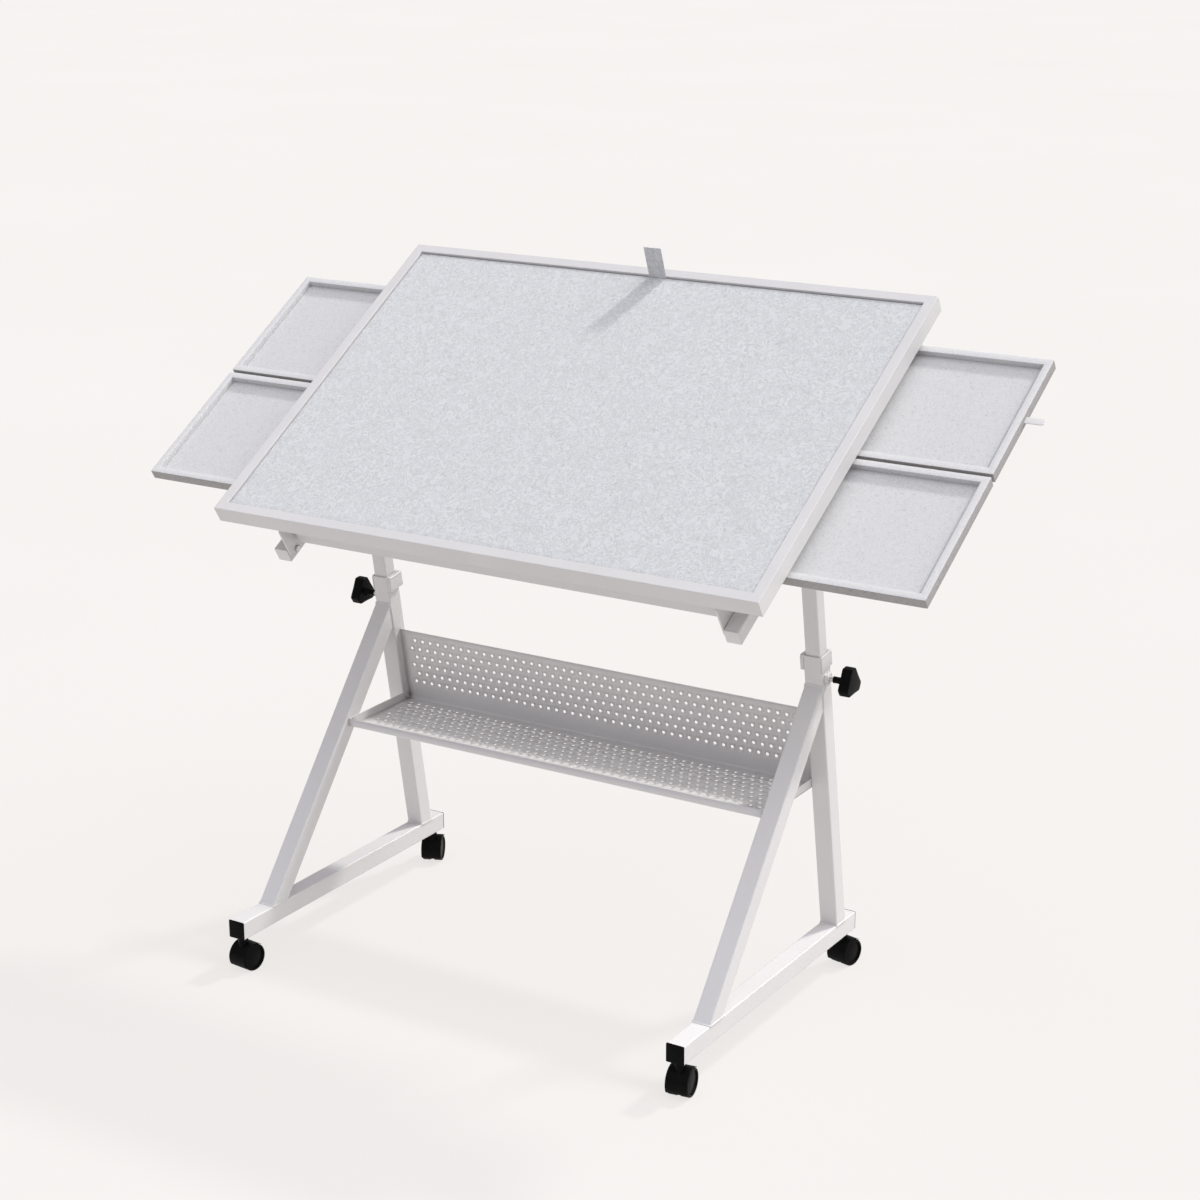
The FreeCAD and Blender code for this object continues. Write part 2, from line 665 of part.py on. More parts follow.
def lift_tab():
    """Felt strap on the insert's back edge, standing up and leaning back over the rim."""
    y = insert_back()
    lean = math.tan(math.radians(TAB_LEAN))
    outline = [
        VEC(-TAB_WIDTH / 2, y, -BASE_TOP),
        VEC(-TAB_WIDTH / 2, y + TAB_THICKNESS, -BASE_TOP),
        VEC(-TAB_WIDTH / 2, y + TAB_THICKNESS, FACE_CLEARANCE),
        VEC(-TAB_WIDTH / 2, y + TAB_THICKNESS + TAB_LENGTH * lean, TAB_LENGTH),
        VEC(-TAB_WIDTH / 2, y + TAB_LENGTH * lean, TAB_LENGTH),
        VEC(-TAB_WIDTH / 2, y, FACE_CLEARANCE),
    ]
    return plate(outline, TAB_WIDTH, X_AXIS)


def carrier():
    """Square tube under the board that turns on the right pivot."""
    length = CARRIER_LENGTH - 2 * CARRIER_CAP
    tube = turned(square_tube(CARRIER_TUBE, CARRIER_WALL, length), -90, 0, -length / 2, 0)
    tube.translate(VEC(LEG_X, 0, -CARRIER_MIDDLE))
    hole = VEC(LEG_X - CARRIER_TUBE, -PIVOT_FORWARD, -CARRIER_MIDDLE)
    tube = tube.cut(rod(PIVOT_RADIUS + PIN_CLEARANCE, hole, X_AXIS, 2 * CARRIER_TUBE))
    for end in (-1, 1):
        drill = bracket_bolt_place(end)
        tube = tube.cut(hex_prism(2 * BRACKET_BOLT_RADIUS, drill, X_AXIS, 2 * CARRIER_WALL))
    return tube


def carrier_cap(end):
    """White plug in one end of the right carrier tube."""
    half = CARRIER_TUBE / 2
    bore = half - CARRIER_WALL
    cap = box(-half, half, 0, CARRIER_CAP, -half, half)
    cap = cap.fuse(box(-bore, bore, CARRIER_CAP, CARRIER_CAP + CARRIER_PLUG, -bore, bore))
    if end > 0:
        cap = cap.mirror(VEC(0, 0, 0), Y_AXIS)
    cap.translate(VEC(LEG_X, end * CARRIER_FRONT, -CARRIER_MIDDLE))
    return cap


def apron(end):
    """Upright board under the base panel, at the front or the rear."""
    x = CARRIER_INNER - BRACKET_SHEET - APRON_END_GAP
    y0 = -APRON_FRONT
    bar = box(-x, x, y0, y0 + APRON_THICKNESS, -BASE_UNDER - APRON_HEIGHT, -BASE_UNDER)
    drill = hex_prism(2 * APRON_SCREW_RADIUS, apron_screw_place(), -Y_AXIS, APRON_SCREW_LENGTH)
    bar = bar.cut(both(drill))
    if end > 0:
        bar = bar.mirror(VEC(0, 0, 0), Y_AXIS)
    return bar


def bracket_bolt_place(end):
    """Where a bracket's bolt enters the right carrier tube's inner face."""
    return VEC(CARRIER_INNER, end * (CARRIER_FRONT - BRACKET_BOLT_INSET), -CARRIER_MIDDLE)


def apron_screw_place():
    """Where the right front bracket's screw enters the apron's rear face."""
    x = CARRIER_INNER - BRACKET_LEG + BRACKET_REACH / 2
    return VEC(x, -APRON_FRONT + APRON_THICKNESS, -CARRIER_DROP + BRACKET_REACH / 2)


def bracket(end):
    """Angle plate from the right carrier tube's inner face to the apron's rear face."""
    y0 = -CARRIER_FRONT + CARRIER_CAP
    y1 = -APRON_FRONT + APRON_THICKNESS + BRACKET_SHEET
    low = -CARRIER_DROP - BRACKET_LAP
    x = CARRIER_INNER - BRACKET_SHEET
    outline = [
        VEC(x, y0, low + BRACKET_CORNER),
        VEC(x, y0 + BRACKET_CORNER, low),
        VEC(x, y1, low),
        VEC(x, y1, low + BRACKET_HEIGHT),
        VEC(x, y0 + BRACKET_CORNER, low + BRACKET_HEIGHT),
        VEC(x, y0, low + BRACKET_HEIGHT - BRACKET_CORNER),
    ]
    angle = plate(outline, BRACKET_SHEET, X_AXIS)
    foot_low = -CARRIER_DROP
    leg = box(CARRIER_INNER - BRACKET_LEG, x, y1 - BRACKET_SHEET, y1, foot_low, foot_low + BRACKET_REACH)
    angle = angle.fuse(leg)
    hole = bracket_bolt_place(-1) - X_AXIS * BRACKET_SHEET
    angle = angle.cut(hex_prism(2 * BRACKET_BOLT_RADIUS, hole, X_AXIS, BRACKET_SHEET))
    hole = apron_screw_place() + Y_AXIS * BRACKET_SHEET
    angle = angle.cut(hex_prism(2 * APRON_SCREW_RADIUS, hole, -Y_AXIS, BRACKET_SHEET)).removeSplitter()
    if end > 0:
        angle = angle.mirror(VEC(0, 0, 0), Y_AXIS)
    return angle


def bracket_bolt(end):
    """Bolt through a bracket into the right carrier tube."""
    head = bracket_bolt_place(end) - X_AXIS * (BRACKET_SHEET + BRACKET_BOLT_HEAD)
    length = BRACKET_SHEET + 2 * CARRIER_WALL
    return screw(BRACKET_BOLT_RADIUS, BRACKET_BOLT_HEAD_RADIUS, BRACKET_BOLT_HEAD, head, X_AXIS, length)


def apron_screw(end):
    """Screw through a bracket into the apron."""
    head = apron_screw_place() + Y_AXIS * (BRACKET_SHEET + APRON_SCREW_HEAD)
    length = BRACKET_SHEET + APRON_SCREW_LENGTH
    piece = screw(APRON_SCREW_RADIUS, APRON_SCREW_HEAD_RADIUS, APRON_SCREW_HEAD, head, -Y_AXIS, length)
    if end > 0:
        piece = piece.mirror(VEC(0, 0, 0), Y_AXIS)
    return piece


# Trays and runners

def tray_front(row):
    """The y of a tray's front edge; row is -1 for the front trays, 1 for the rear ones."""
    gap = RUNNER_SHEET / 2 + TRAY_SIDE_GAP
    if row < 0:
        return DIVIDER_SET_BACK - gap - TRAY_WIDTH
    return DIVIDER_SET_BACK + gap


def runner_bar(outline):
    """A folded sheet profile along X, between the side rails."""
    half = BOARD_WIDTH / 2 - RAIL_WIDTH - RUNNER_END_GAP
    points = [VEC(-half, y, z) for y, z in outline]
    return plate(points, 2 * half, X_AXIS)


def edge_runner(row):
    """Z-shaped runner outside the front or rear trays: screw flange, web and ledge."""
    if row < 0:
        face = tray_front(-1) - TRAY_SIDE_GAP
    else:
        face = tray_front(1) + TRAY_WIDTH + TRAY_SIDE_GAP
    low = -RUNNER_SEAT - RUNNER_SHEET
    web = face + row * RUNNER_SHEET
    outline = [
        (face, -BASE_UNDER),
        (face, -RUNNER_SEAT),
        (face - row * (TRAY_SIDE_GAP + RUNNER_LEDGE), -RUNNER_SEAT),
        (face - row * (TRAY_SIDE_GAP + RUNNER_LEDGE), low),
        (web, low),
        (web, -BASE_UNDER - RUNNER_SHEET),
        (web + row * RUNNER_FLANGE, -BASE_UNDER - RUNNER_SHEET),
        (web + row * RUNNER_FLANGE, -BASE_UNDER),
    ]
    return runner_bar(outline)


def middle_runner():
    """I-shaped runner between the front and rear trays."""
    half = RUNNER_SHEET / 2
    wide = half + TRAY_SIDE_GAP + RUNNER_LEDGE
    low = -RUNNER_SEAT - RUNNER_SHEET
    y = DIVIDER_SET_BACK
    outline = [
        (y - wide, -BASE_UNDER),
        (y - wide, -BASE_UNDER - RUNNER_SHEET),
        (y - half, -BASE_UNDER - RUNNER_SHEET),
        (y - half, -RUNNER_SEAT),
        (y - wide, -RUNNER_SEAT),
        (y - wide, low),
        (y + wide, low),
        (y + wide, -RUNNER_SEAT),
        (y + half, -RUNNER_SEAT),
        (y + half, -BASE_UNDER - RUNNER_SHEET),
        (y + wide, -BASE_UNDER - RUNNER_SHEET),
        (y + wide, -BASE_UNDER),
    ]
    return runner_bar(outline)


def tray(row):
    """A right-hand tray: a shallow box open at the top."""
    x1 = TRAY_OUTER
    x0 = x1 - TRAY_LENGTH
    y0 = tray_front(row)
    y1 = y0 + TRAY_WIDTH
    shell = box(x0, x1, y0, y1, -TRAY_BOTTOM, -TRAY_DROP)
    rim = TRAY_RIM
    well = box(x0 + rim, x1 - rim, y0 + rim, y1 - rim, -TRAY_BOTTOM + TRAY_FLOOR, -TRAY_DROP)
    return shell.cut(well)


def pull_strip():
    """Flat strip let into the outer rim of the right rear tray."""
    middle = tray_front(1) + TRAY_WIDTH / 2
    z = -TRAY_DROP - TRAY_HEIGHT / 2
    return box(TRAY_OUTER - STRIP_ROOT, TRAY_OUTER + STRIP_LENGTH, middle - STRIP_WIDTH / 2,
               middle + STRIP_WIDTH / 2, z - STRIP_THICKNESS / 2, z + STRIP_THICKNESS / 2)


def build():
    """Make every node and write it."""
    os.makedirs("parts", exist_ok=True)
    export_pair("foot", foot())
    export("foot_end_caps", Part.makeCompound([both(foot_cap(-1)), both(foot_cap(1))]))
    export_pair("upright", bolted_leg(upright()))
    export_pair("brace", bolted_leg(brace()))
    export("post_collars", both(collar()))

    export("shelf_floor", shelf_floor())
    export("shelf_back", shelf_back())
    export("shelf_lip", shelf_lip())
    export("shelf_end_flanges", both(shelf_flange()))
    export("shelf_bolts", Part.makeCompound([both(shelf_bolt(place)) for place in shelf_bolt_places()]))

    corners = [
        ("front_left", -LEG_X, -CASTER_Y, FRONT_LEFT_SWIVEL),
        ("front_right", LEG_X, -CASTER_Y, FRONT_RIGHT_SWIVEL),
        ("back_left", -LEG_X, CASTER_Y, BACK_LEFT_SWIVEL),
        ("back_right", LEG_X, CASTER_Y, BACK_RIGHT_SWIVEL),
    ]
    hood = caster_hood()
    stem = caster_stem()
    wheels = caster_wheels()
    for corner, x, y, swivel in corners:
        export("caster_hood_" + corner, caster_place(hood, x, y, swivel))
        export("caster_stem_" + corner, caster_place(stem, x, y, swivel))
        export("caster_wheels_" + corner, caster_place(wheels, x, y, swivel))

    export_pair("clamp_knob", three_corner_knob())
    export_pair("clamp_stud", clamp_stud())

    export_pair("inner_post", inner_post())
    export("post_glides", both(post_glide()))
    export("hinge_forks", both(hinge_fork()))
    export("pivot_bolts", Part.makeCompound([both(pivot_bolt()), both(pivot_nut())]))

    export("front_rail", on_board(rail(BOARD_WIDTH, BOARD_DEPTH / 2)))
    export("back_rail", on_board(back_rail()))
    export("right_rail", on_board(side_rail(90)))
    export("left_rail", on_board(side_rail(-90)))
    export("base_panel", on_board(base_panel()))
    export("front_apron", on_board(apron(-1)))
    export("rear_apron", on_board(apron(1)))
    export("right_carrier_tube", on_board(carrier()))
    export("left_carrier_tube", on_board(mirrored(carrier())))
    export("carrier_end_caps", on_board(Part.makeCompound([both(carrier_cap(-1)), both(carrier_cap(1))])))
    export("carrier_brackets", on_board(Part.makeCompound([both(bracket(-1)), both(bracket(1))])))
    export("bracket_bolts", on_board(Part.makeCompound([both(bracket_bolt(-1)), both(bracket_bolt(1))])))
    export("apron_screws", on_board(Part.makeCompound([both(apron_screw(-1)), both(apron_screw(1))])))
    export("front_runner", on_board(edge_runner(-1)))
    export("middle_runner", on_board(middle_runner()))
    export("rear_runner", on_board(edge_runner(1)))

    export("felt_sheet", on_board(insert_layer(RIM_HEIGHT, FELT_THICKNESS)))
    export("insert_panel", on_board(insert_layer(RIM_HEIGHT + FELT_THICKNESS, INSERT_THICKNESS)))
    export("lift_tab", on_board(lift_tab()))

    strip = pull_strip()
    export("tray_right_front", on_board(tray(-1)))
    export("tray_right_rear", on_board(tray(1).cut(strip)))
    export("tray_left_front", on_board(mirrored(tray(-1))))
    export("tray_left_rear", on_board(mirrored(tray(1))))
    export("tray_pull_strip", on_board(strip))


build()
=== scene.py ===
import json
import math

import bmesh
import bpy
import numpy as np
from bpy.props import FloatProperty, FloatVectorProperty, PointerProperty
from bpy.types import Operator, Panel, PropertyGroup
from mathutils import Matrix, Vector


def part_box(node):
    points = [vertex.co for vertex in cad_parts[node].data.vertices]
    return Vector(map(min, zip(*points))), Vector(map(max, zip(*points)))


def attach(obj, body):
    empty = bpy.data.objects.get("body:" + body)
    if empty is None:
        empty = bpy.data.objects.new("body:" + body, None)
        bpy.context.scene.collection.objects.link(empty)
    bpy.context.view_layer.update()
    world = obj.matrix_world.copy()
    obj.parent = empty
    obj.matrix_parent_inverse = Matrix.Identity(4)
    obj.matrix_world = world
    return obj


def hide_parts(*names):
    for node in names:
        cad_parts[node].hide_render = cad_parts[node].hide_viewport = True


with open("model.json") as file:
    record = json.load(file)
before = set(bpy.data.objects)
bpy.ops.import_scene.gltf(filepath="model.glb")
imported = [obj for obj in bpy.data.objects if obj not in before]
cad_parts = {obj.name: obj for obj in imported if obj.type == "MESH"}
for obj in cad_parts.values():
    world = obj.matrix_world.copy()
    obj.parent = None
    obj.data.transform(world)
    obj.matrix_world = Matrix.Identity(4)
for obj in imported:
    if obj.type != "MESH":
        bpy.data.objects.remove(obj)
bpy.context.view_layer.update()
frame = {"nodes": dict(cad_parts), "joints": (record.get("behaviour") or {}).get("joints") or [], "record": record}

bl_info = {
    "name": "Tilting puzzle table",
    "version": (1, 0, 0),
    "blender": (4, 5, 0),
    "location": "3D View > Sidebar > Puzzle table",
    "description": "Dresses a puzzle table with trays, a perforated shelf and casters",
    "category": "Object",
}

NODES = frame["nodes"]
JOINTS = {joint["name"]: joint for joint in frame["joints"]}
MOUNTS = {mount["name"]: mount for mount in frame["record"]["mounts"]}
SIDES = {"left": -1, "right": 1}
CORNERS = ("front_left", "front_right", "back_left", "back_right")
TRAYS = ("tray_right_front", "tray_right_rear", "tray_left_front", "tray_left_rear")
X_AXIS = np.array([1.0, 0.0, 0.0])
Z_AXIS = np.array([0.0, 0.0, 1.0])
FINISHES = {}
STEEL = "white powder coat"
LAMINATE = "white laminate"
FELT = "mottled felt"
TRAY = "tray floor"
WHITE = "moulded white"
BLACK = "moulded black"
ZINC = "zinc plate"

# Fixed measures of small forms, in metres besides angles and shares
SHARP_ANGLE = math.radians(32)
BEVEL_ANGLE = math.radians(40)
BRACE_LEAN = math.radians(38.5)
SUPPORT = 0.0004
ARCH_SUPPORT = 0.0001
LEAST_CORNER = 0.0003
WELD_RADIUS = 0.0016
WELD_SPACING = 0.0007
RIPPLE_LENGTH = 0.0022
RIPPLE_SHARE = 0.12
NUT_HALF = 0.008
NUT_CORNER = 0.0015
NUT_EDGE = 0.0008
NUT_DEPTH = 0.001
CHEEK_EDGE = 0.0003
CHEEK_CORNER = 0.0006
CHEEK_LAP = 0.0005
CHEEK_STEP = 0.0001
LIP_EDGE = 0.0007
POST_PLAY = 0.0003
CAP_DEPTH = 0.002
FOOT_CAP_EDGE = 0.0007
CARRIER_CAP_EDGE = 0.0008
HOOD_WEB = 0.0025
HOOD_GAP = 0.0008
HOOD_SHELL = 0.0015
HOOD_TIP = 0.0004
HOOD_ROUND = 0.35
HOOD_NECK = 0.0080
RIB_DEPTH = 0.004
RIB_EDGE = 0.0004
DISC_INSET = 0.0015
AXLE = 0.0030
AXLE_PLAY = 0.0006
AXLE_LAP = 0.001
NECK_EDGE = 0.0008
NECK_RISE = 0.0007
WHEEL_GAP = 0.0005
WHEEL_EDGE = 0.001
FELT_DROP = 0.0008
FELT_EDGE = 0.0012
TAB_THICKNESS = 0.0014
TAB_CORNER = 0.0005
TRAY_INSET = 0.002
STRIP_CORNER = 0.003
STRIP_EDGE = 0.0005
FLOOR_REACH = 60.0

# Profiles: a knob's neck as shares of its radius and length; a caster's neck as shares of its radius, its
# hood as angles in degrees and how far it has thinned there; a wheel's face from the hub outwards as
# insets from the tread and depths below the face
KNOB_FLARE = np.array([0.80, 1.0, 0.92, 0.98, 1.18, 1.5])
KNOB_PLACE = np.array([0.0, 0.04, 0.3, 0.55, 0.8, 1.0])
NECK_TAPER = np.array([1.0, 1.0, 0.925, 0.7])
HOOD_TURN = np.linspace(-30, 130, 48)
HOOD_THIN = np.clip((HOOD_TURN - 85) / 45, 0, 1)
FACE_INSET = np.array([0.0213, 0.0070, 0.0060, 0.0044, 0.0038])
FACE_DEPTH = np.array([0.0018, 0.0018, 0.0022, 0.0020, 0.0])

# Counts of rows: points in a fold of the shelf, steps along the tab, faces up a tray's wall and rim
FOLD_STEPS = 7
TAB_STEPS = 40
WALL_ROWS = 6
RIM_ROWS = 9


# Axes and measures

def unit(vectors):
    """Vectors brought to a length of one."""
    return vectors / np.linalg.norm(vectors, axis=-1, keepdims=True)


def travelled(path):
    """Distances covered along a row of points."""
    return np.append(0.0, np.cumsum(np.linalg.norm(np.diff(path, axis=0), axis=1)))


def axes(origin, third, first=X_AXIS):
    """An origin and three square axes; the second is the third cross the first."""
    third = unit(np.array(third, float))
    first = unit(np.array(first, float))
    return np.array([origin, first, np.cross(third, first), third])


def placed(points, about):
    """Measures along a set of axes as points: the origin plus measure times axis."""
    return about[0] + points @ about[1:]


def node_points(node):
    """All corner points of a solid, as one array."""
    mesh = NODES[node].data
    flat = np.empty(len(mesh.vertices) * 3)
    mesh.vertices.foreach_get("co", flat)
    return flat.reshape(-1, 3)


def reach(node, about, side=0):
    """Lowest and highest measures of a solid along a set of axes, or of its left or right half."""
    points = node_points(node)
    local = (points[points[:, 0] * side >= 0] - about[0]) @ about[1:].T
    return local.min(0), local.max(0)


FLOOR = axes((0.0, 0.0, 0.0), Z_AXIS)
BOARD = axes(MOUNTS["work_surface"]["pos_m"], MOUNTS["work_surface"]["axis"])
UPRIGHT = axes((0.0, 0.0, 0.0), JOINTS["post_height"]["axis"])


# Surfaces

def skin(points, ends=True):
    """Quads between neighbouring rings of a grid of points, each ring closed on itself.

    The first and last ring are closed by one face each, or joined to each other. The winding is turned
    round where the volume, the sum of p0 . (p1 x p2) / 6 over the triangles, comes out negative.
    """
    rows, columns = points.shape[:2]
    index = np.arange(rows * columns).reshape(rows, columns)
    low = index[:-1] if ends else index
    high = np.roll(index, -1, 0)[:len(low)]
    quads = np.stack([low, np.roll(low, -1, 1), np.roll(high, -1, 1), high], -1).reshape(-1, 4)
    faces = quads.tolist()
    if ends:
        faces = faces + [index[0, ::-1].tolist(), index[-1].tolist()]
    flat = points.reshape(-1, 3)
    corner = flat[quads] - flat.mean(0)
    volume = (corner[:, 0] * np.cross(corner[:, 1], corner[:, 2])).sum()
    volume = volume + (corner[:, 0] * np.cross(corner[:, 2], corner[:, 3])).sum()
    if volume < 0:
        faces = [face[::-1] for face in faces]
    return flat, faces


def rounded_ring(half_a, half_b, corner, steps=5, ease=SUPPORT):
    """Outlines of rounded rectangles, one for each entry of the sizes.

    A corner is a quarter circle about its centre. A support point stands on each flat beside it,
    at a small slide along the tangent, which keeps the flats flat in the shading. The slide is no more
    than a fifth of the shorter flat.
    """
    sizes = [np.atleast_1d(np.asarray(size, float)) for size in (half_a, half_b, corner)]
    half_a, half_b, corner = [size[:, None] for size in np.broadcast_arrays(*sizes)]
    quarter = np.concatenate(([0.0], np.linspace(0, math.pi / 2, steps), [math.pi / 2]))
    turn = (quarter + np.arange(4)[:, None] * math.pi / 2).ravel()
    ease = np.minimum(ease, 0.4 * (np.minimum(half_a, half_b) - corner))
    slide = ease * np.tile(np.concatenate(([-1.0], np.zeros(steps), [1.0])), 4)
    sign_a = np.repeat([1, -1, -1, 1], steps + 2)
    sign_b = np.repeat([1, 1, -1, -1], steps + 2)
    a = sign_a * (half_a - corner) + corner * np.cos(turn) - slide * np.sin(turn)
    b = sign_b * (half_b - corner) + corner * np.sin(turn) + slide * np.cos(turn)
    return np.stack([a, b], -1)


def bar(half_a, half_b, corner, centre, first, second, start, end):
    """A straight bar of rounded rectangular section between two planes.

    Each outline point p slides along the bar's direction d to a plane through q with normal n:
    p + d (q - p).n / d.n, once for the start and once for the end.
    """
    ring = rounded_ring(half_a, half_b, corner)[0]
    along = np.cross(first, second)
    base = np.asarray(centre) + ring[:, :1] * first + ring[:, 1:] * second
    stations = []
    for point, normal in (start, end):
        slide = ((np.asarray(point) - base) @ normal) / (along @ normal)
        stations.append(base + slide[:, None] * along)
    return np.stack(stations)


def beam(node, about, run, corner, side=0):
    """A straight bar as large as a solid, running along one of a set of axes."""
    low, high = reach(node, about, side)
    half = (high - low) / 2
    first, second = (run + 1) % 3, (run + 2) % 3
    ends = [(placed(value, about), about[1 + run]) for value in (low, high)]
    centre = placed((low + high) / 2, about)
    return bar(half[first], half[second], corner, centre, about[1 + first], about[1 + second], *ends)


def eased(low, high, edge, steps=4):
    """Inset and rise of a slab's side: a wall with a quarter circle at either edge."""
    turn = np.linspace(0, math.pi / 2, steps)
    inset = edge * (1 - np.sin(turn))
    lift = edge * (1 - np.cos(turn))
    return np.concatenate([inset, inset[::-1]]), np.concatenate([low + lift, high - lift[::-1]])


def lifted(ring, rise):
    """Outlines in two measures, each with its rise as the third."""
    lift = np.broadcast_to(np.asarray(rise, float)[:, None, None], ring.shape[:2] + (1,))
    return np.concatenate([ring, lift], -1)


def stack(low, high, corner, inset, rise, about):
    """Rounded rectangles between two corners, each drawn in by its inset and lifted by its rise."""
    half = (high - low)[:2] / 2
    ring = rounded_ring(half[0] - inset, half[1] - inset, np.maximum(corner - inset, LEAST_CORNER))
    return placed(lifted(ring + (low + high)[:2] / 2, rise), about)


def revolved(radius, along, about, steps):
    """A turned shape: radii and places along the third axis, carried round it."""
    turn = np.linspace(0, 2 * math.pi, steps, endpoint=False)
    radius = np.asarray(radius, float)[:, None]
    along = np.broadcast_to(np.asarray(along, float)[:, None], (len(radius), steps))
    return placed(np.stack([radius * np.cos(turn), radius * np.sin(turn), along], -1), about)


def arched(half_width, inner, outer, corner, turn, about):
    """A rounded rectangle carried round the first axis through a row of angles.

    The outline's first measure runs along the axis, its second is added to the middle radius.
    """
    middle = np.broadcast_to((inner + outer) / 2, turn.shape)[:, None]
    ring = rounded_ring(half_width, middle[:, 0] - inner, corner, ease=ARCH_SUPPORT)
    radius = middle + ring[..., 1]
    width = np.broadcast_to(ring[..., 0], radius.shape)
    turn = turn[:, None]
    return placed(np.stack([width, radius * np.cos(turn), radius * np.sin(turn)], -1), about)


def weld(ring, normal):
    """A bead round the ring where a tube meets a face.

    A small circle is carried along the ring in even steps, its radius rippling along the way.
    """
    loop = np.concatenate([ring, ring[:1]])
    travel = travelled(loop)
    even = np.linspace(0, travel[-1], int(travel[-1] / WELD_SPACING), endpoint=False)
    path = np.stack([np.interp(even, travel, loop[:, axis]) for axis in range(3)], -1)
    outward = unit(np.cross(np.roll(path, -1, 0) - np.roll(path, 1, 0), normal))
    step = np.linalg.norm(np.roll(path, -1, 0) - path, axis=1)
    ripple = 1 + RIPPLE_SHARE * np.cos(np.cumsum(step) / RIPPLE_LENGTH * 2 * math.pi)
    turn = np.linspace(0, 2 * math.pi, 8, endpoint=False)[None, :, None]
    size = WELD_RADIUS * ripple[:, None, None]
    bead = path[:, None] + size * (np.cos(turn) * outward[:, None] + np.sin(turn) * normal)
    return skin(bead, ends=False)


# Pieces

def added(name, data):
    """A new object in the scene."""
    thing = bpy.data.objects.new(name, data)
    bpy.context.scene.collection.objects.link(thing)
    return thing


def piece(name, surfaces, finish, body, nodes=()):
    """One mesh of joined surfaces; a bare grid of points is skinned first."""
    points = []
    faces = []
    count = 0
    for surface in surfaces:
        flat, loops = surface if isinstance(surface, tuple) else skin(surface)
        points.append(flat)
        faces = faces + [[corner + count for corner in loop] for loop in loops]
        count = count + len(flat)
    mesh = bpy.data.meshes.new(name)
    mesh.from_pydata(np.concatenate(points).tolist(), [], faces)
    return settled(name, mesh, finish, body, nodes)


def settled(name, mesh, finish, body, nodes=()):
    """Puts a mesh in the scene, smooth but for sharp edges, on its body and in place of its solids.

    With no solids given, it is the one that the name says up to its dot.
    """
    mesh.update()
    if mesh.validate():
        raise RuntimeError(f"{name} has faces that cannot be used")
    mesh.shade_smooth()
    mesh.set_sharp_from_angle(angle=SHARP_ANGLE)
    mesh.materials.append(FINISHES[finish])
    thing = added(name, mesh)
    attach(thing, body)
    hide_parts(*(nodes or [name.split(".")[0]]))
    return thing


def softened(node, finish, body, width):
    """A merged copy of a plain solid, with a narrow bevel along its sharp edges."""
    mesh = NODES[node].data.copy()
    mesh.materials.clear()
    work = bmesh.new()
    work.from_mesh(mesh)
    bmesh.ops.remove_doubles(work, verts=work.verts, dist=1e-6)
    bmesh.ops.dissolve_limit(work, angle_limit=math.radians(1), verts=work.verts, edges=work.edges)
    work.to_mesh(mesh)
    work.free()
    thing = settled(node + ".eased", mesh, finish, body)
    bevel = thing.modifiers.new("eased edges", "BEVEL")
    bevel.width = width
    bevel.segments = 2
    bevel.limit_method = "ANGLE"
    bevel.angle_limit = BEVEL_ANGLE


def painted(node, finish):
    """Gives a solid that stays as it is its finish."""
    NODES[node].data.materials.clear()
    NODES[node].data.materials.append(FINISHES[finish])


# Finishes

def wired(node, inputs):
    """Sets inputs of a shader node, or links them to outputs of other nodes."""
    for socket, value in inputs.items():
        if isinstance(value, bpy.types.NodeSocket):
            node.id_data.links.new(value, node.inputs[socket])
        else:
            node.inputs[socket].default_value = value
    return node


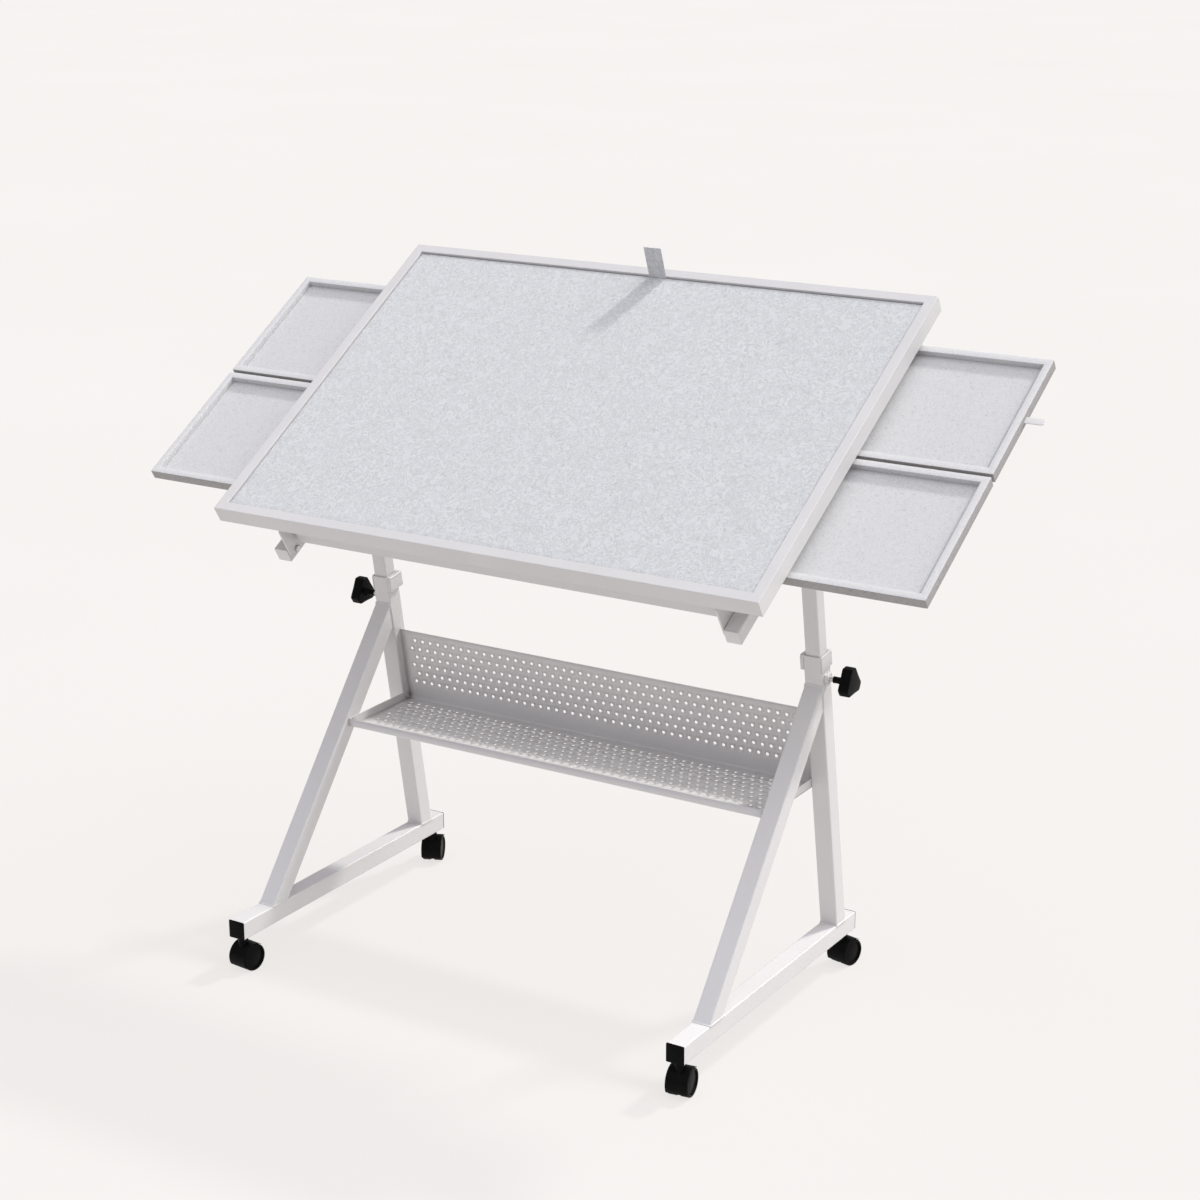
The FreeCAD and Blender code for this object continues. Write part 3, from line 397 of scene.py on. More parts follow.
class Finish:
    """A material under way: its nodes, its shader and its object coordinates."""

    def __init__(self, name, roughness):
        self.material = bpy.data.materials.new(name)
        self.material.use_nodes = True
        self.nodes = self.material.node_tree.nodes
        self.shader = wired(self.nodes["Principled BSDF"], {"Roughness": roughness})
        self.where = self.nodes.new("ShaderNodeTexCoord").outputs["Object"]
        FINISHES[name] = self.material

    def add(self, kind, inputs):
        """A new node of some kind."""
        return wired(self.nodes.new("ShaderNode" + kind), inputs)

    def stretched(self, scale):
        """Coordinates scaled along the axes, for streaks."""
        return self.add("Mapping", {"Scale": scale, "Vector": self.where}).outputs["Vector"]

    def noise(self, scale, detail=3.0, rough=0.5, distortion=0.0, where=None):
        """Cloudy noise with so many features to the metre."""
        inputs = {"Scale": scale, "Detail": detail, "Roughness": rough, "Distortion": distortion}
        return self.add("TexNoise", {"Vector": where or self.where, **inputs}).outputs["Fac"]

    def cells(self, scale):
        """Distance to the nearest of scattered points, so many to the metre."""
        return self.add("TexVoronoi", {"Scale": scale, "Vector": self.where}).outputs["Distance"]

    def ramp(self, value, *stops):
        """Colours laid along a value, each stop a place and a colour."""
        node = self.add("ValToRGB", {"Fac": value})
        marks = node.color_ramp.elements
        while len(marks) < len(stops):
            marks.new(0.5)
        for mark, (place, colour) in zip(marks, stops):
            mark.position = place
            mark.color = tuple(colour) + (1.0,)
        return node.outputs["Color"]

    def veiled(self, first, second, amount):
        """A colour darkened by a second one, by a fixed amount."""
        node = self.add("Mix", {})
        node.data_type = "RGBA"
        node.blend_type = "MULTIPLY"
        return wired(node, {0: amount, 6: first, 7: second}).outputs[2]

    def coloured(self, colour):
        """Takes a colour into the shader."""
        wired(self.shader, {"Base Color": colour})

    def clouded(self, scale, detail, low, high):
        """Takes a colour into the shader that drifts between two tones."""
        self.coloured(self.ramp(self.noise(scale, detail), (0.3, low), (0.7, high)))

    def grained(self, grain, low, high, strength, distance):
        """Takes a fine grain into the shader's roughness and its bump."""
        bounds = self.add("MapRange", {"Value": grain, "To Min": low, "To Max": high})
        wired(self.shader, {"Roughness": bounds.outputs["Result"]})
        self.bumped(grain, strength, distance)

    def bumped(self, height, strength, distance, under=None):
        """Raises the surface by a height, over an earlier bump if there is one."""
        node = self.add("Bump", {"Height": height, "Strength": strength, "Distance": distance})
        if under:
            wired(node, {"Normal": under})
        normal = node.outputs["Normal"]
        wired(self.shader, {"Normal": normal})
        return normal


def toned(colour, factor):
    """A colour made lighter or darker."""
    return tuple(min(1.0, channel * factor) for channel in colour)


def make_finishes(colours):
    """Every finish of the table, from the colours a user can change."""
    steel = Finish(STEEL, 0.38)
    steel.clouded(9.0, 2.0, toned(colours.steel, 0.965), colours.steel)
    steel.grained(steel.noise(900.0, 2.0, 0.6), 0.32, 0.46, 0.10, 0.0004)

    board = Finish(LAMINATE, 0.42)
    board.clouded(14.0, 3.0, toned(colours.board, 0.96), colours.board)
    pores = board.noise(1500.0, 2.0, 0.7, where=board.stretched((1.0, 6.0, 6.0)))
    board.grained(pores, 0.36, 0.52, 0.08, 0.0003)

    plain = (1.0, 1.0, 1.0)
    felt = Finish(FELT, 0.92)
    strokes = felt.noise(62.0, 4.0, 0.6, 2.6)
    threads = felt.noise(120.0, 3.0, 0.6, 2.0)
    fibres = felt.noise(620.0, 3.0, 0.7, 1.5)
    light = toned(colours.felt, 1.04)
    tone = felt.ramp(strokes, (0.43, colours.felt), (0.47, colours.felt_dark), (0.52, light))
    veil = felt.ramp(threads, (0.45, plain), (0.50, (0.86, 0.865, 0.87)), (0.55, plain))
    fleck = felt.ramp(fibres, (0.36, (0.82, 0.82, 0.83)), (0.46, plain))
    felt.coloured(felt.veiled(felt.veiled(tone, veil, 0.9), fleck, 0.6))
    wired(felt.shader, {"Sheen Weight": 0.25, "Sheen Roughness": 0.6})
    nap = felt.bumped(fibres, 0.35, 0.0008)
    felt.bumped(strokes, 0.25, 0.0010, nap)

    # The trays' wall finish is a darker copy of the floor's, partly for the edges' own tone and partly as painted
    # shade on the outer walls
    shades = ((TRAY, colours.tray, 0.72), ("tray rim", colours.tray_rim, 0.86),
              ("tray wall tone and painted shade", colours.tray_wall_tone_and_painted_shade, 0.55))
    for name, light, depth in shades:
        tray = Finish(name, 0.7)
        strokes = tray.noise(240.0, 4.0, 0.65, 1.8)
        grains = tray.noise(900.0, 3.0, 0.7)
        tone = tray.ramp(strokes, (0.30, toned(light, depth)), (0.46, light), (0.64, toned(light, 1.06)))
        speck = tray.ramp(grains, (0.34, (0.80, 0.79, 0.79)), (0.48, plain))
        tray.coloured(tray.veiled(tone, speck, 0.7))
        tray.grained(grains, 0.6, 0.82, 0.2, 0.0004)

    white = Finish(WHITE, 0.34)
    white.clouded(30.0, 2.0, toned(colours.plastic, 0.97), colours.plastic)
    white.grained(white.noise(1800.0, 1.0), 0.28, 0.42, 0.05, 0.0002)

    black = Finish(BLACK, 0.34)
    wired(black.shader, {"Specular IOR Level": 0.05})
    black.clouded(60.0, 3.0, toned(colours.black, 0.7), toned(colours.black, 1.3))
    black.grained(black.noise(1400.0, 2.0), 0.28, 0.44, 0.06, 0.0002)

    zinc = Finish(ZINC, 0.35)
    wired(zinc.shader, {"Metallic": 1.0})
    zinc.coloured(zinc.ramp(zinc.cells(380.0), (0.1, toned(colours.zinc, 0.85)), (0.6, colours.zinc)))
    zinc.grained(zinc.noise(900.0, 3.0, 0.6), 0.25, 0.5, 0.08, 0.0002)


# Sizes and colours a user would change

def length(name, description, default):
    """A size in metres."""
    return FloatProperty(
        name=name, description=description, default=default, min=0.0001, unit="LENGTH", precision=4
    )


def colour(name, description, default):
    """A colour."""
    return FloatVectorProperty(
        name=name, description=description, default=default, subtype="COLOR", size=3, min=0.0, max=1.0
    )


class TableSizes(PropertyGroup):
    """Sizes of the rounding, the holes and the moulded forms."""

    tube_corner: length("Tube corner", "Corner radius of the leg and carrier tubes", 0.0018)
    rail_edge: length("Rail edge", "Rounding of the rails and aprons", 0.0007)
    tray_edge: length("Tray edge", "Rounding of the trays' edges", 0.0005)
    tray_corner: length("Tray corner", "Corner radius of the trays", 0.0012)
    tray_rim: length("Tray rim", "Width of the trays' rims", 0.012)
    hole_diameter: length("Hole", "Diameter of the shelf's holes", 0.0058)
    hole_pitch: length("Hole pitch", "Distance between holes in a row", 0.0158)
    hole_row: length("Hole row", "Distance between rows of holes", 0.0157)
    hole_margin: length("Hole margin", "Plain edge round the holes", 0.0092)
    shelf_sheet: length("Shelf sheet", "Thickness of the shelf's sheet", 0.0009)
    shelf_bend: length("Shelf bend", "Radius of the shelf's folds", 0.0030)
    collar_lip: length("Collar lip", "Thickness of the collars' top plates", 0.0030)
    knob_neck: length("Knob neck", "Radius of the clamp knobs' necks", 0.0055)
    knob_side: length("Knob side", "From a clamp knob's axis to a side's middle", 0.0170)
    knob_rounding: length("Knob rounding", "Rounding of the clamp knobs' edges", 0.0015)
    wheel_rounding: length("Wheel rounding", "Rounding of the wheels' treads", 0.0022)
    felt_waviness: length("Felt waviness", "Height of the felt's soft unevenness", 0.00012)


class TableColours(PropertyGroup):
    """Base colours of the finishes."""

    steel: colour("Powder coat", "Legs, posts, shelf and carriers", (0.675, 0.660, 0.652))
    board: colour("Laminate", "Rails, aprons and panels", (0.62, 0.607, 0.600))
    felt: colour("Felt", "Work surface", (0.565, 0.57, 0.575))
    felt_dark: colour("Felt strokes", "Darker fibres in the felt", (0.434, 0.434, 0.44))
    tray: colour("Tray floor", "Floors of the trays", (0.57, 0.566, 0.566))
    tray_rim: colour("Tray rim", "Upper faces of the trays' rims", (0.60, 0.594, 0.59))
    # Outer-wall colour: darker than the floor partly by the edges' own tone and partly by painted shade, as the
    # walls face away from the light
    tray_wall_tone_and_painted_shade: colour("Tray wall tone and painted shade", "Outer walls of the trays", (0.345, 0.332, 0.325))
    plastic: colour("White plastic", "Collars, carrier caps and pull strip", (0.65, 0.635, 0.625))
    black: colour("Black plastic", "Casters, knobs and foot caps", (0.004, 0.0037, 0.0036))
    zinc: colour("Zinc", "Bolts, screws and stems", (0.62, 0.62, 0.63))


# Operators, one for each group of pieces

class TableOperator(Operator):
    """Shared by the table's operators."""

    bl_options = {"REGISTER"}

    def execute(self, context):
        """Makes the pieces, and lets an error stop the script."""
        self.make(context.scene.table_sizes)
        return {"FINISHED"}


class TABLE_OT_finishes(TableOperator):
    """Makes the finishes from the colours"""

    bl_idname = "puzzle_table.finishes"
    bl_label = "Finishes"

    def make(self, sizes):
        """Builds every material anew."""
        make_finishes(bpy.context.scene.table_colours)


class TABLE_OT_legs(TableOperator):
    """Makes the feet, uprights and braces with their welds"""

    bl_idname = "puzzle_table.legs"
    bl_label = "Legs"

    def make(self, sizes):
        """Rounded square tubes cut to planes, with a bead round each joint."""
        corner = sizes.tube_corner
        for side, sign in SIDES.items():
            piece(side + "_foot.tube", [beam(side + "_foot", FLOOR, 1, corner)], STEEL, "base")
            low, high = reach(side + "_foot", FLOOR)
            half = (high[0] - low[0]) / 2
            middle = (low[0] + high[0]) / 2
            deck = (high, Z_AXIS)

            low, high = reach(side + "_upright", UPRIGHT, sign)
            nut = self.nut(side, sign, middle + sign * half, high[0] if sign > 0 else low[0])
            low[0], high[0] = middle - half, middle + half
            centre = placed((low + high) / 2, UPRIGHT)
            top = (placed(high, UPRIGHT), UPRIGHT[3])
            upright = bar(half, half, corner, centre, UPRIGHT[1], UPRIGHT[2], deck, top)
            piece(side + "_upright.tube", [upright, weld(upright[0], Z_AXIS), nut], STEEL, "base")

            along = np.array([0.0, math.sin(BRACE_LEAN), math.cos(BRACE_LEAN)])
            across = np.cross(along, X_AXIS)
            points = node_points(side + "_brace")
            nose = points[points[:, 2] < deck[0][2] + 1e-4].min(0)
            centre = np.array([middle, nose[1], deck[0][2]]) + across * half
            face = (placed(low, UPRIGHT), UPRIGHT[2])
            brace = bar(half, half, corner, centre, X_AXIS, across, deck, face)
            surfaces = [brace, weld(brace[0], Z_AXIS), weld(brace[1], UPRIGHT[2])]
            piece(side + "_brace.tube", surfaces, STEEL, "base")

    def nut(self, side, sign, face, outer):
        """The welded block on the upright that the clamp's stud runs through."""
        knob = JOINTS[side + "_knob_turn"]["pos_m"]
        about = axes((face, knob[1], knob[2]), (sign, 0.0, 0.0), UPRIGHT[3])
        wall = eased(-NUT_DEPTH, abs(outer) - abs(face), NUT_EDGE)
        return stack(np.full(2, -NUT_HALF), np.full(2, NUT_HALF), NUT_CORNER, *wall, about)


class TABLE_OT_collars(TableOperator):
    """Makes the plastic collars and the foot and carrier end caps"""

    bl_idname = "puzzle_table.collars"
    bl_label = "Collars and caps"

    def make(self, sizes):
        """Collars are three cheeks under a lip with a square hole."""
        surfaces = []
        for side, sign in SIDES.items():
            low, high = reach("post_collars", UPRIGHT, sign)
            tube = reach(side + "_inner_post", UPRIGHT, sign)
            middle = (tube[0] + tube[1])[:2] / 2
            leg = middle[1] - low[1]
            lip = high[2] - sizes.collar_lip
            wall = eased(low[2], lip + CHEEK_LAP, CHEEK_EDGE)
            spans = [(low[:2], (middle[0] - leg, high[1])),
                     ((middle[0] + leg, low[1]), high[:2]),
                     ((low[0] + CHEEK_EDGE, middle[1] + leg), (high[0] - CHEEK_EDGE, high[1] - CHEEK_STEP))]
            for begin, finish in np.array(spans):
                surfaces.append(stack(begin, finish, CHEEK_CORNER, *wall, UPRIGHT))
            hole = (tube[1][0] - tube[0][0]) / 2 + POST_PLAY
            surfaces.append(self.lip(low, high, lip, middle, hole))
        piece("post_collars.moulded", surfaces, WHITE, "base")
        self.caps("foot_end_caps", FLOOR, sizes.tube_corner, FOOT_CAP_EDGE, BLACK, "base")
        self.caps("carrier_end_caps", BOARD, sizes.tube_corner, CARRIER_CAP_EDGE, WHITE, "board")

    def caps(self, node, about, corner, edge, finish, body):
        """Slabs on both ends of two tubes, reaching a little way into them."""
        surfaces = []
        for sign in SIDES.values():
            low, high = reach(node, about, sign)
            half = (high[0] - low[0]) / 2
            square = np.full(2, half)
            for face, outward in ((low[1], -about[2]), (high[1], about[2])):
                origin = placed(np.array([(low[0] + high[0]) / 2, face, high[2] - half]), about)
                wall = eased(-CAP_DEPTH, 0.0, edge)
                surfaces.append(stack(-square, square, corner, *wall, axes(origin, outward)))
        piece(node + ".moulded", surfaces, finish, body)

    def lip(self, low, high, under, middle, hole):
        """The collar's top plate, a closed loop of stacked rings."""
        outer = (high - low)[:2] / 2
        inner = np.array([hole, hole])
        centre = (low + high)[:2] / 2
        top = high[2]
        rows = ((outer, centre, 0.0022, under),
                (outer, centre, 0.0022, top - LIP_EDGE),
                (outer - LIP_EDGE, centre, 0.0015, top),
                (inner + LIP_EDGE, middle, 0.0010, top),
                (inner, middle, 0.0006, top - LIP_EDGE),
                (inner, middle, 0.0006, under))
        halves, spots, corners, rises = zip(*rows)
        rings = rounded_ring(*np.transpose(halves), corners) + np.array(spots)[:, None]
        return skin(placed(lifted(rings, rises), UPRIGHT), ends=False)


class TABLE_OT_posts(TableOperator):
    """Makes the inner posts and finishes their forks, bolts and glides"""

    bl_idname = "puzzle_table.posts"
    bl_label = "Lifting posts"

    def make(self, sizes):
        """Rounded square tubes along the slide, with the forks' edges eased."""
        for side, sign in SIDES.items():
            post = beam(side + "_inner_post", UPRIGHT, 2, sizes.tube_corner, sign)
            piece(side + "_inner_post.tube", [post], STEEL, "posts")
        softened("hinge_forks", STEEL, "posts", 0.0008)
        softened("pivot_bolts", ZINC, "posts", 0.0007)
        painted("post_glides", WHITE)


class TABLE_OT_knobs(TableOperator):
    """Makes the three-cornered knobs of the clamps"""

    bl_idname = "puzzle_table.knobs"
    bl_label = "Clamp knobs"

    def make(self, sizes):
        """A three-cornered plate with cropped tips and rounded edges, on a turned neck.

        The tips' direction is a third of the mean direction of three times their angles.
        """
        for side in SIDES:
            joint = JOINTS[side + "_knob_turn"]
            spin = axes(joint["pos_m"], joint["axis"], UPRIGHT[3])
            points = (node_points(side + "_clamp_knob") - spin[0]) @ spin[1:].T
            far = np.hypot(points[:, 0], points[:, 1])
            tips = points[far > 0.98 * far.max()]
            turn = np.angle(np.mean((tips[:, 0] + 1j * tips[:, 1]) ** 3)) / 3
            about = axes(joint["pos_m"], joint["axis"], math.cos(turn) * spin[1] + math.sin(turn) * spin[2])
            low, high = reach(side + "_clamp_knob", about)
            wide = math.sqrt(far.max() ** 2 - high[0] ** 2)
            wing = tips[:, 2].min() - sizes.knob_rounding
            inset, along = eased(wing, high[2], sizes.knob_rounding, 6)
            outline = self.outline(high[0], wide, sizes.knob_side)
            ring = outline[None] * (1 - inset / high[0])[:, None, None]
            plate = placed(lifted(ring, along), about)
            place = low[2] + (wing + sizes.knob_rounding - low[2]) * KNOB_PLACE
            neck = revolved(sizes.knob_neck * KNOB_FLARE, place, about, 40)
            piece(side + "_clamp_knob.moulded", [plate, neck], BLACK, side + "_knob")
            painted(side + "_clamp_stud", ZINC)

    def outline(self, tip, wide, side, soft=0.2, steps=6):
        """Three cropped tips about the axis, each corner c rounded between points a and b beside it.

        The rounding is (1 - t)^2 a + 2 t (1 - t) c + t^2 b, with t from 0 to 1. Points are complex
        numbers, so that a third of a turn is a product.
        """
        third = np.array([tip - 1j * wide, tip + 1j * wide, side * np.exp(1j * math.pi / 3)])
        corner = (np.exp(2j * math.pi / 3 * np.arange(3))[:, None] * third).ravel()
        before = corner + (np.roll(corner, 1) - corner) * soft
        after = corner + (np.roll(corner, -1) - corner) * soft
        t = np.linspace(0, 1, steps)
        curve = (1 - t) ** 2 * before[:, None] + 2 * t * (1 - t) * corner[:, None] + t ** 2 * after[:, None]
        return np.stack([curve.ravel().real, curve.ravel().imag], -1)


class TABLE_OT_casters(TableOperator):
    """Makes the twin-wheel casters"""

    bl_idname = "puzzle_table.casters"
    bl_label = "Casters"

    def make(self, sizes):
        """A hood and a pair of wheels about the axle, which lies beside the stem."""
        for corner in CORNERS:
            stem = np.array(JOINTS[f"caster_{corner}_swivel"]["pos_m"])
            roll = JOINTS[f"caster_{corner}_roll"]
            hub = np.array(roll["pos_m"])
            forward = unit((stem - hub) * (1.0, 1.0, 0.0))
            about = np.array([hub, np.cross(forward, Z_AXIS), forward, Z_AXIS])
            spin = axes(hub, roll["axis"], Z_AXIS)
            half, wheel = reach("caster_wheels_" + corner, about)[1][[0, 2]]
            hood = self.hood(stem, about, spin, half, wheel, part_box("caster_hood_" + corner)[1][2])
            piece("caster_hood_" + corner + ".moulded", hood, BLACK, "caster_" + corner)
            wheels = self.wheels(sizes, spin, half, wheel)
            piece("caster_wheels_" + corner + ".moulded", wheels, BLACK, "wheels_" + corner)
            painted("caster_stem_" + corner, ZINC)

    def hood(self, stem, about, spin, half, wheel, top):
        """An arched shell and a web under it, with a turned neck whose foot follows the shell.

        A point of the neck's foot at an offset d from the axle stands sqrt(r^2 - d^2) above it.
        """
        inner = wheel + HOOD_GAP
        turn = np.radians(HOOD_TURN)
        taper = HOOD_SHELL + (HOOD_TIP - HOOD_SHELL) * HOOD_THIN
        shell = arched(half, inner, inner + taper, HOOD_ROUND * taper, turn, about)
        bore, edge = AXLE + AXLE_PLAY, wheel - DISC_INSET
        disc = revolved([bore, edge, edge, bore], HOOD_WEB * np.array([-1, -1, 1, 1]), spin, 56)
        rib = arched(HOOD_WEB, wheel - RIB_DEPTH, inner + RIB_EDGE, RIB_EDGE, turn[:-6], about)
        lift = axes((stem[0], stem[1], 0.0), Z_AXIS)
        neck = revolved(HOOD_NECK * NECK_TAPER, [0.0, top - NECK_EDGE, top, top], lift, 40)
        offset = (neck[0] - about[0]) @ about[2]
        neck[0, :, 2] = about[0, 2] + np.sqrt((inner + NECK_RISE) ** 2 - offset ** 2)
        return [shell, skin(disc, ends=False), rib, neck]

    def wheels(self, sizes, spin, half, wheel):
        """One turned profile on each side of the web, and the axle between them."""
        soft = sizes.wheel_rounding
        turn = np.linspace(0, math.pi / 2, 6)
        tread = wheel - soft * (1 - np.sin(turn))
        radius = np.concatenate([wheel - FACE_INSET, tread, [wheel, wheel - WHEEL_EDGE, AXLE]])
        shoulder = half - soft * (1 - np.cos(turn))
        inside = HOOD_WEB + WHEEL_GAP + np.array([WHEEL_EDGE, 0, 0])
        place = np.concatenate([half - FACE_DEPTH, shoulder, inside])
        pin = revolved([AXLE, AXLE], (HOOD_WEB + AXLE_LAP) * np.array([-1, 1]), spin, 24)
        return [revolved(radius, place, spin, 56), revolved(radius, -place, spin, 56), pin]


class TABLE_OT_shelf(TableOperator):
    """Makes the folded perforated shelf"""

    bl_idname = "puzzle_table.shelf"
    bl_label = "Shelf"

    def make(self, sizes):
        """One sheet folded along its length, given its thickness by a modifier."""
        path = self.fold(sizes)
        travel = travelled(path)
        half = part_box("shelf_lip")[1][0]
        flat, faces = self.perforated(sizes, travel, half)
        y = np.interp(flat[:, 0], travel, path[:, 0])
        z = np.interp(flat[:, 0], travel, path[:, 1])
        points = np.stack([flat[:, 1], y, z], -1)
        nodes = ["shelf_floor", "shelf_back", "shelf_lip"]
        shelf = piece("shelf.folded", [(points, faces)], STEEL, "base", nodes)
        sheet = shelf.modifiers.new("sheet", "SOLIDIFY")
        sheet.thickness = sizes.shelf_sheet
        sheet.offset = 0.0
        sheet.use_even_offset = True
        softened("shelf_end_flanges", STEEL, "base", 0.0003)
        softened("shelf_bolts", ZINC, "base", 0.0006)

    def fold(self, sizes):
        """The middle line of the sheet seen from the side: lip, floor and back, with rounded folds.

        At a fold the line follows a circle that touches both straights, its centre on their bisector.
        """
        half = sizes.shelf_sheet / 2
        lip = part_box("shelf_lip")
        high = reach("shelf_back", UPRIGHT)[1]
        front = lip[0][1] + half
        deck = lip[0][2] + half
        back = high[1] - half
        start = (back - deck * UPRIGHT[2, 2]) / UPRIGHT[2, 1]
        top = placed(np.array([0.0, back, high[2]]), UPRIGHT)[1:]
        marks = np.array([[front, lip[1][2]], [front, deck], [start, deck], top])
        line = [marks[:1]]
        for before, corner, after in zip(marks[:-2], marks[1:-1], marks[2:]):
            inward = unit(before - corner)
            onward = unit(after - corner)
            angle = math.acos(float(inward @ onward))
            reach_back = sizes.shelf_bend / math.tan(angle / 2)
            centre = corner + unit(inward + onward) * sizes.shelf_bend / math.sin(angle / 2)
            share = np.linspace(0, 1, FOLD_STEPS)[:, None]
            chord = corner + inward * reach_back * (1 - share) + onward * reach_back * share
            line.append(centre + unit(chord - centre) * sizes.shelf_bend)
        line.append(marks[-1:])
        return np.concatenate(line)

    def perforated(self, sizes, travel, half):
        """The flat sheet as faces in two measures, along the fold line and across the shelf.

        A cell is twelve points on a rectangle joined to twelve on a circle. Every second row stands
        half a pitch to one side, and the back's rows begin at its upper edge. Plain strips fill the edges
        and the folds, and equal points are merged.
        """
        pitch, row, radius = sizes.hole_pitch, sizes.hole_row, sizes.hole_diameter / 2
        columns = int((2 * half - 2 * sizes.hole_margin) // pitch)
        first = -columns * pitch / 2
        fields = []
        for bend, share in ((FOLD_STEPS, 0.5), (2 * FOLD_STEPS, 1.0)):
            room = travel[bend + 1] - travel[bend] - 2 * sizes.hole_margin
            rows = int(room // row)
            start = travel[bend] + sizes.hole_margin + (room - rows * row) * share
            fields.append(start + row * np.arange(rows + 1))
        polygons = []
        turn = np.arange(12) * math.pi / 6
        quarter = np.array([row, pitch]) / 4
        rim = np.array([[0, 2], [2, 2], [2, 1], [2, 0], [2, -1], [2, -2],
                        [0, -2], [-2, -2], [-2, -1], [-2, 0], [-2, 1], [-2, 2]]) * quarter
        part = np.array([[0, 0], [0, 1], [0, 2], [2, 2], [4, 2], [4, 1], [4, 0], [2, 0]]) * quarter
        circle = np.stack([np.sin(turn), np.cos(turn)], -1) * radius
        quads = np.stack([rim, np.roll(rim, -1, 0), np.roll(circle, -1, 0), circle], 1)
        for lines in fields:
            for number, low in enumerate(lines[:-1]):
                odd = number % 2
                across = first + pitch * (np.arange(columns - odd) + 0.5 + 0.5 * odd)
                spots = np.stack([np.full(len(across), low + row / 2), across], -1)
                polygons.append((spots[:, None, None] + quads).reshape(-1, 4, 2))
                if odd:
                    polygons.append((part + (low, first))[None])
                    polygons.append((part + (low, -first - pitch / 2))[None])
                for begin, finish in ((-half, first), (-first, half)):
                    high = low + row / 2
                    margin = np.array([[low, begin], [low, finish], [high, finish], [high, begin]])
                    polygons.append(np.stack([margin, margin + (row / 2, 0)]))
        across = np.concatenate([[-half], first + pitch / 4 * np.arange(4 * columns + 1), [half]])
        stops = np.unique(np.concatenate([travel, fields[0][[0, -1]], fields[1][[0, -1]]]))
        for low, high in zip(stops[:-1], stops[1:]):
            if any(lines[0] <= (low + high) / 2 <= lines[-1] for lines in fields):
                continue
            left, right = across[:-1], across[1:]
            pairs = ((low, left), (low, right), (high, right), (high, left))
            corners = [np.stack(np.broadcast_arrays(*pair), -1) for pair in pairs]
            polygons.append(np.stack(corners, 1))
        loose = np.concatenate([shape.reshape(-1, 2) for shape in polygons])
        merged, where = np.unique(np.round(loose, 7), axis=0, return_inverse=True)
        faces = []
        ends = np.cumsum([shape.size // 2 for shape in polygons])
        for shape, corners in zip(polygons, np.split(where.ravel(), ends[:-1])):
            faces = faces + corners.reshape(shape.shape[:2]).tolist()
        return merged, faces


class TABLE_OT_rails(TableOperator):
    """Makes the mitred rails, the aprons and the panels"""

    bl_idname = "puzzle_table.rails"
    bl_label = "Rails and aprons"

    def make(self, sizes):
        """Rounded rectangular bars between mitre planes at 45 degrees; the aprons end square."""
        edge = sizes.rail_edge
        low, inner = reach("left_rail", BOARD)
        high = reach("right_rail", BOARD)[1]
        corners = np.array([low[:2], (high[0], low[1]), high[:2], (low[0], high[1])])
        top, under = high[2], low[2]
        width = inner[0] - low[0]
        for number, name in enumerate(("front_rail", "right_rail", "back_rail", "left_rail")):
            begin, finish = corners[number], corners[(number + 1) % 4]
            run = unit(finish - begin)
            inward = np.array([-run[1], run[0]])
            middle = np.append((begin + finish) / 2 + inward * width / 2, (top + under) / 2)
            planes = []
            for point, sign in ((begin, 1), (finish, -1)):
                normal = np.append(run - sign * inward, 0.0) / math.sqrt(2)
                planes.append((placed(np.append(point, 0.0), BOARD), normal @ BOARD[1:]))
            across = np.append(inward, 0.0) @ BOARD[1:]
            rail = bar(width / 2, (top - under) / 2, edge, placed(middle, BOARD), across, BOARD[3], *planes)
            piece(name + ".laminate", [rail], LAMINATE, "board")
        for name in ("front_apron", "rear_apron"):
            piece(name + ".laminate", [beam(name, BOARD, 0, edge)], LAMINATE, "board")
        painted("base_panel", LAMINATE)
        painted("insert_panel", LAMINATE)


class TABLE_OT_carriers(TableOperator):
    """Makes the carrier tubes and finishes their brackets and fasteners"""

    bl_idname = "puzzle_table.carriers"
    bl_label = "Carriers and runners"

    def make(self, sizes):
        """Rounded square tubes along the board's depth, and folded pieces with eased edges."""
        for side in SIDES:
            node = side + "_carrier_tube"
            tube = beam(node, BOARD, 1, sizes.tube_corner)
            piece(side + "_carrier.tube", [tube], STEEL, "board", [node])
        softened("carrier_brackets", STEEL, "board", 0.0007)
        softened("bracket_bolts", ZINC, "board", 0.0006)
        softened("apron_screws", ZINC, "board", 0.0005)
        for name in ("front_runner", "middle_runner", "rear_runner"):
            softened(name, STEEL, "board", 0.0004)


